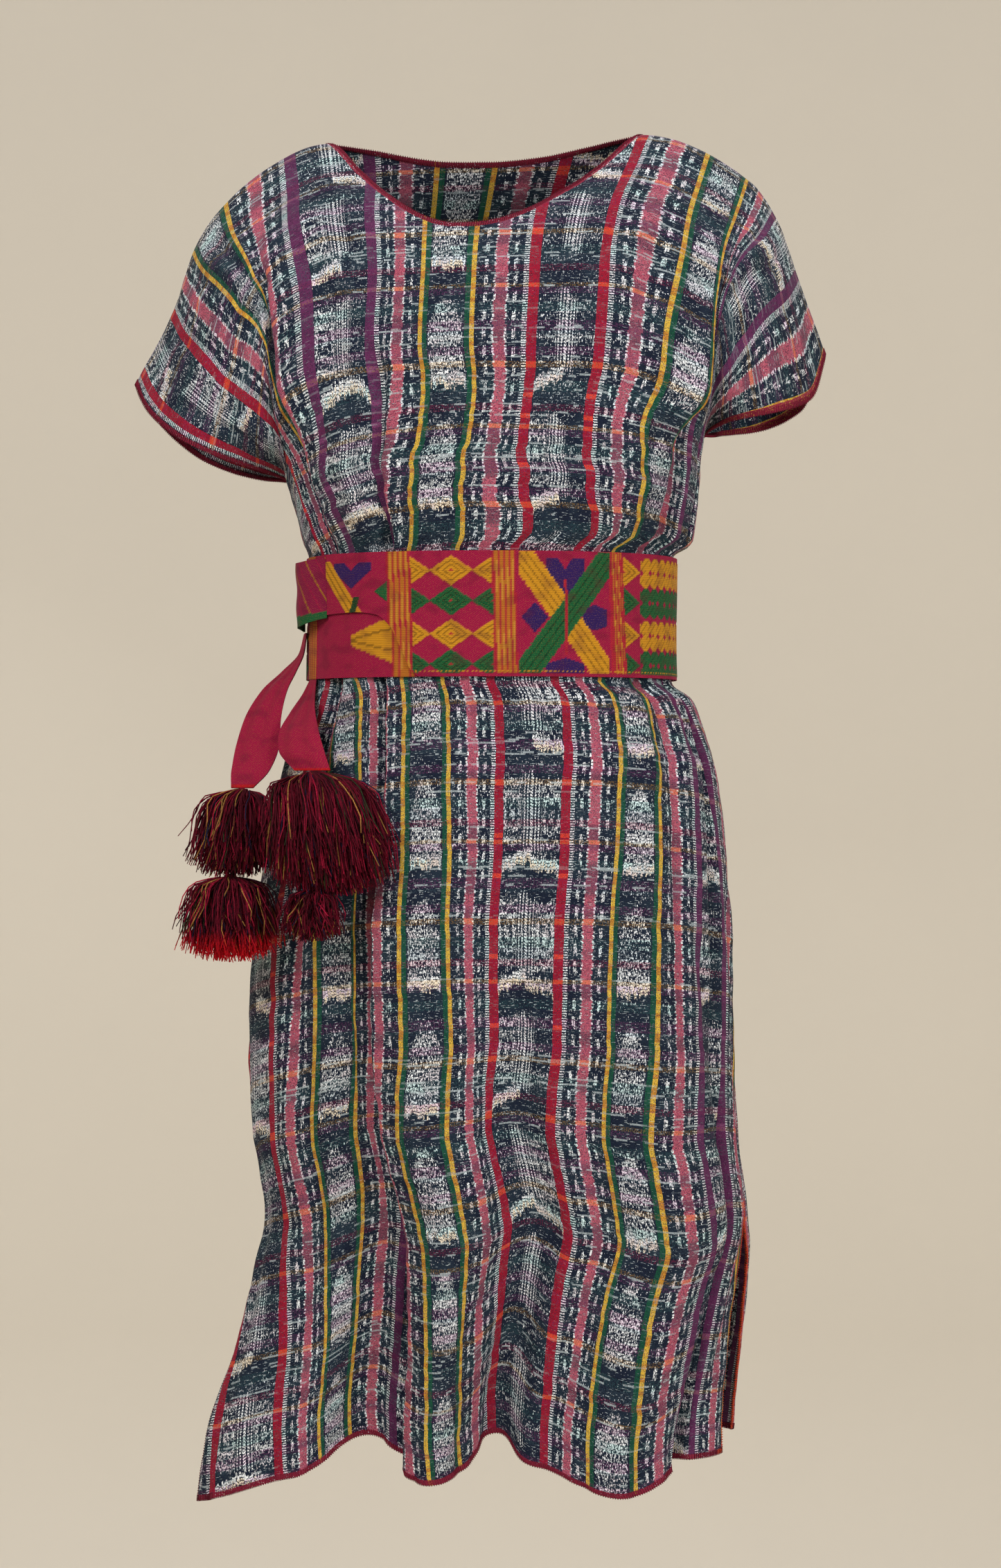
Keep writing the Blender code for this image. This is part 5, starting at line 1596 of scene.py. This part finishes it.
def wound_head(head, top):
    """Rings of yarn wound over a small core, from its top to its foot."""
    angle = np.linspace(0, math.tau, HEAD_STEPS + 1)
    centre = top - np.array((0, 0, head))
    rings = []
    for k in range(HEAD_TURNS):
        tilt = math.pi * (k + 0.5) / HEAD_TURNS
        ring = head * HEAD_ROUND * math.sin(tilt)
        rings.append(np.stack([ring * np.cos(angle), ring * np.sin(angle),
                               head * HEAD_ROUND * math.cos(tilt) + 0 * angle], 1) + centre)
    return tubes(np.array(rings), head * HEAD_YARN, 5, along=(0.05, 0.02, 1))


def tassel_piece(name, looks, material, chance):
    """A soft head of wound yarn and its strands, as one mesh."""
    low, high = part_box(name)
    sizes = {key: size * MM for key, size in zip(TASSEL_COLUMNS, TASSELS[name])}
    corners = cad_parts[name].data.vertices
    peak = max(corners, key=lambda corner: corner.co.z).co
    top = np.array((peak.x, peak.y, high.z))
    paths = tassel_strands(sizes, top, looks, chance)
    radius = np.array(STRAND_TAPER) * looks.strand_radius * MM
    points, faces = tubes(paths, radius, 3)
    weights = np.array([share for _, share in YARNS])
    picks = chance.choice(len(YARNS), len(paths), p=weights / weights.sum())
    tints = np.array([colour for colour, _ in YARNS])[picks]
    tints = tints * chance.uniform(0.75, 1.3, (len(paths), 1))
    tints = np.repeat(tints, len(radius) * 3, axis=0)
    if name == "tassel_left_lower":
        red = ease(-(points[:, 2] - low.z), -RED_TIPS[0], -RED_TIPS[1])[:, None]
        tints = tints * (1 - red) + np.array(FRINGE_RED) * red
    core, core_faces = wound_head(sizes["head"], top)
    faces = faces + [[k + len(points) for k in face] for face in core_faces]
    points = np.concatenate([points, core])
    tints = np.concatenate([tints, np.broadcast_to(YARNS[1][0], (len(core), 3))])
    return mesh_piece(name + "_yarn", points, faces, material, layers={"yarn": tints})


def pale_plaster(base):
    """Plain plaster of the floor and wall, a little uneven."""
    r = Recipe("pale_plaster", roughness=0.9, sheen=0.0)
    darker = tuple(0.9 * part for part in base)
    return r.finish(r.mix(r.speckle(3.0).soft(0.3, 0.7) * 0.12, base, darker))


def room_shell(material):
    """A round floor that bends up into a wall, with its faces to the inside."""
    angle = np.linspace(0, math.tau, ROOM_SIDES, endpoint=False)
    bend = np.linspace(0, math.pi / 2, 9)
    radius = np.concatenate([[0.02, 1.0, 2.0], WALL - ROOM_BEND + ROOM_BEND * np.sin(bend),
                             [WALL, WALL]])
    height = np.concatenate([[0, 0, 0], ROOM_BEND - ROOM_BEND * np.cos(bend), [2.5, 5.0]]) + FLOOR
    points = np.stack([np.outer(radius, np.cos(angle)), np.outer(radius, np.sin(angle)),
                       np.broadcast_to(height[:, None], (len(radius), ROOM_SIDES))], -1)
    index = np.arange(points.size // 3).reshape(len(radius), ROOM_SIDES)
    turned = np.roll(index, -1, axis=1)
    quads = np.stack([index[:-1], index[1:], turned[1:], turned[:-1]], -1).reshape(-1, 4)
    return mesh_piece("room", points.reshape(-1, 3), quads.tolist() + [index[0].tolist()],
                      material)


def soft_lights(scene, power):
    """The even sky, and round lamps that point at the middle of the dress."""
    world = bpy.data.worlds.new("soft_light")
    world.use_nodes = True
    sky = world.node_tree.nodes["Background"]
    sky.inputs[0].default_value = (*SKY, 1)
    sky.inputs[1].default_value = SKY_STRENGTH
    scene.world = world
    for name, (at, size, share, colour) in LIGHTS.items():
        data = bpy.data.lights.new(name, "AREA")
        data.shape = "DISK"
        data.size = size
        data.energy = power * share
        data.color = colour
        lamp = bpy.data.objects.new(name, data)
        lamp.location = at
        aim = Vector((np.array(LIGHTS_AIM) - np.array(at)).tolist())
        lamp.rotation_euler = aim.to_track_quat("-Z", "Y").to_euler()
        scene.collection.objects.link(lamp)


def photo_camera(scene):
    """The camera, at the photo's angle to the dress."""
    view = bpy.data.cameras.new("camera")
    view.sensor_fit = "VERTICAL"
    view.angle = 2 * math.atan(VIEW_HEIGHT / 2 / -CAMERA_AT[1])
    camera = bpy.data.objects.new("camera", view)
    camera.location = CAMERA_AT
    camera.rotation_euler = (math.pi / 2, 0, 0)
    scene.collection.objects.link(camera)
    scene.camera = camera


class DressLooks(bpy.types.PropertyGroup):
    """Sizes of the dress cloth and its stitching."""

    cloth_thickness: FloatProperty(
        name="Cloth thickness", description="Thickness of the dress cloth in millimetres",
        default=1.1, min=0.5, max=2.0)
    crease_strength: FloatProperty(
        name="Crease strength", description="How deep the fine creases are, as a share",
        default=1.0, min=0.0, max=2.0, subtype="FACTOR")
    overlock_pitch: FloatProperty(
        name="Overlock pitch", description="Distance between stitches in millimetres",
        default=1.7, min=0.8, max=5.0)
    overlock_width: FloatProperty(
        name="Overlock width", description="How far the stitches reach in, in millimetres",
        default=3.8, min=1.0, max=8.0)


class SashLooks(bpy.types.PropertyGroup):
    """Sizes of the sash cloth."""

    sash_thickness: FloatProperty(
        name="Sash thickness", description="Thickness of the sash cloth in millimetres",
        default=1.2, min=0.5, max=2.0)
    brocade_height: FloatProperty(
        name="Brocade height", description="How far the brocade stands up, in millimetres",
        default=0.35, min=0.0, max=1.0)


class TasselLooks(bpy.types.PropertyGroup):
    """Strands of the tassels."""

    strands: IntProperty(
        name="Strands", description="Strands in the lower left tassel", default=1500,
        min=50, max=3000)
    strand_radius: FloatProperty(
        name="Strand radius", description="Radius of a strand in millimetres",
        default=0.70, min=0.2, max=2.0)


class RoomLooks(bpy.types.PropertyGroup):
    """The pale room and its light."""

    wall_colour: FloatVectorProperty(
        name="Wall colour", description="Colour of the floor and wall", subtype="COLOR",
        default=(0.648, 0.599, 0.516), min=0.0, max=1.0)
    light_power: FloatProperty(
        name="Light power", description="Power of the main light", default=78.0,
        min=0.0, unit="POWER")


class DRESS_OT_cloth(bpy.types.Operator):
    """Make both panels of the dress cloth and the stitching of their edges"""

    bl_idname = "dress.make_cloth"
    bl_label = "Dress cloth"

    def execute(self, context):
        looks = context.scene.dress_looks
        material = ikat_cotton()
        yarn = tassel_wool("overlock_yarn")
        shells = dress_shells(looks)
        stitches = overlock(shells, looks)
        half = looks.cloth_thickness * MM / 2
        for face, shell in shells.items():
            out = shell["normals"] * half
            drift = stripe_drift(shell["places"], shell["drops"]) if face == "front" else 0
            cloth = np.stack([shell["places"] + drift, -OUT[face] * shell["drops"]], -1)
            edge = edge_distance(face, shell["places"], shell["drops"])
            bright = ease(shell["places"], PANEL_RIGHT - 0.012, PANEL_RIGHT - 0.010)
            bright = bright * (shell["drops"] > SLIT_TOP)
            piece = wall(f"dress_cloth_{face}", shell["points"] + out, shell["points"] - out,
                         material, shell["normals"], cloth,
                         {"edge": edge[..., None], "edge_bright": bright[..., None]})
            points, faces, tints = stitches[face]
            thread = mesh_piece(f"overlock_{face}", points, faces, yarn, layers={"yarn": tints})
            area = (PANEL_RIGHT - PANEL_LEFT) * PANEL_LENGTH
            across = np.linspace(NECK_LEFT, NECK_RIGHT, 200)
            area -= float(neck_drop(face, across).mean()) * (NECK_RIGHT - NECK_LEFT)
            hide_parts("dress_" + face)
            for one in (piece, thread):
                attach(one, "root")
        return {"FINISHED"}


class DRESS_OT_sash(bpy.types.Operator):
    """Make the wraps, the turned end and the hanging ends of the sash"""

    bl_idname = "dress.make_sash"
    bl_label = "Sash"

    def execute(self, context):
        looks = context.scene.sash_looks
        material = brocade_cotton()
        under = CLOTH_SOLID / 2 + SASH_CLEARANCE + SASH_SOLID / 2
        upper = under + SASH_SOLID + SASH_LAP_GAP
        made = {
            "sash_under_wrap": under_wrap(under, material, looks),
            "sash_upper_wrap": upper_wrap(upper, material, looks),
            "sash_turn": turned_end(material, looks),
            "tail_left": sash_tail("tail_left_cloth", TAIL_LEFT, material, looks),
            "tail_front": sash_tail("tail_front_cloth", TAIL_FRONT, material, looks),
        }
        on = ["dress_cloth_front", "dress_cloth_back"]
        for node, piece in made.items():
            "hung" if node in TAIL_WIDTHS else "stretched"
            on if "wrap" in node else ["sash_under_cloth"]
            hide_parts(node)
            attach(piece, "root")
        return {"FINISHED"}


class DRESS_OT_tassels(bpy.types.Operator):
    """Make the four yarn tassels"""

    bl_idname = "dress.make_tassels"
    bl_label = "Tassels"

    def execute(self, context):
        looks = context.scene.tassel_looks
        material = tassel_wool("tassel_wool")
        chance = np.random.default_rng(SEED)
        for name in TASSELS:
            piece = tassel_piece(name, looks, material, chance)
            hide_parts(name)
            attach(piece, "root")
        return {"FINISHED"}


class DRESS_OT_room(bpy.types.Operator):
    """Make the pale floor and wall, the soft lights and the camera"""

    bl_idname = "dress.make_room"
    bl_label = "Room and light"

    def execute(self, context):
        scene = context.scene
        looks = scene.room_looks
        room_shell(pale_plaster(tuple(looks.wall_colour)))
        soft_lights(scene, looks.light_power)
        photo_camera(scene)
        scene.view_settings.view_transform = "Standard"
        return {"FINISHED"}


class DRESS_PT_looks(bpy.types.Panel):
    """Lists the pieces of the dress and their settings"""

    bl_label = "Handwoven dress"
    bl_idname = "DRESS_PT_looks"
    bl_space_type = "VIEW_3D"
    bl_region_type = "UI"
    bl_category = "Dress"

    def draw(self, context):
        for settings, names, operators in PANEL_ROWS:
            box = self.layout.box()
            group = getattr(context.scene, settings)
            for name in names:
                box.prop(group, name)
            for operator in operators:
                box.operator(operator)


PANEL_ROWS = (
    ("dress_looks", ("cloth_thickness", "crease_strength", "overlock_pitch", "overlock_width"),
     ("dress.make_cloth",)),
    ("sash_looks", ("sash_thickness", "brocade_height"), ("dress.make_sash",)),
    ("tassel_looks", ("strands", "strand_radius"), ("dress.make_tassels",)),
    ("room_looks", ("wall_colour", "light_power"), ("dress.make_room",)),
)
GROUPS = {"dress_looks": DressLooks, "sash_looks": SashLooks, "tassel_looks": TasselLooks,
          "room_looks": RoomLooks}
CLASSES = (*GROUPS.values(), DRESS_OT_cloth, DRESS_OT_sash, DRESS_OT_tassels, DRESS_OT_room,
           DRESS_PT_looks)


def register():
    for one in CLASSES:
        bpy.utils.register_class(one)
    for name, group in GROUPS.items():
        setattr(bpy.types.Scene, name, PointerProperty(type=group))


def unregister():
    for name in GROUPS:
        delattr(bpy.types.Scene, name)
    for one in reversed(CLASSES):
        bpy.utils.unregister_class(one)


def main():
    register()
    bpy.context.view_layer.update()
    bpy.ops.dress.make_room()
    bpy.ops.dress.make_cloth()
    bpy.ops.dress.make_sash()
    bpy.ops.dress.make_tassels()


if __name__ == "__main__":
    main()
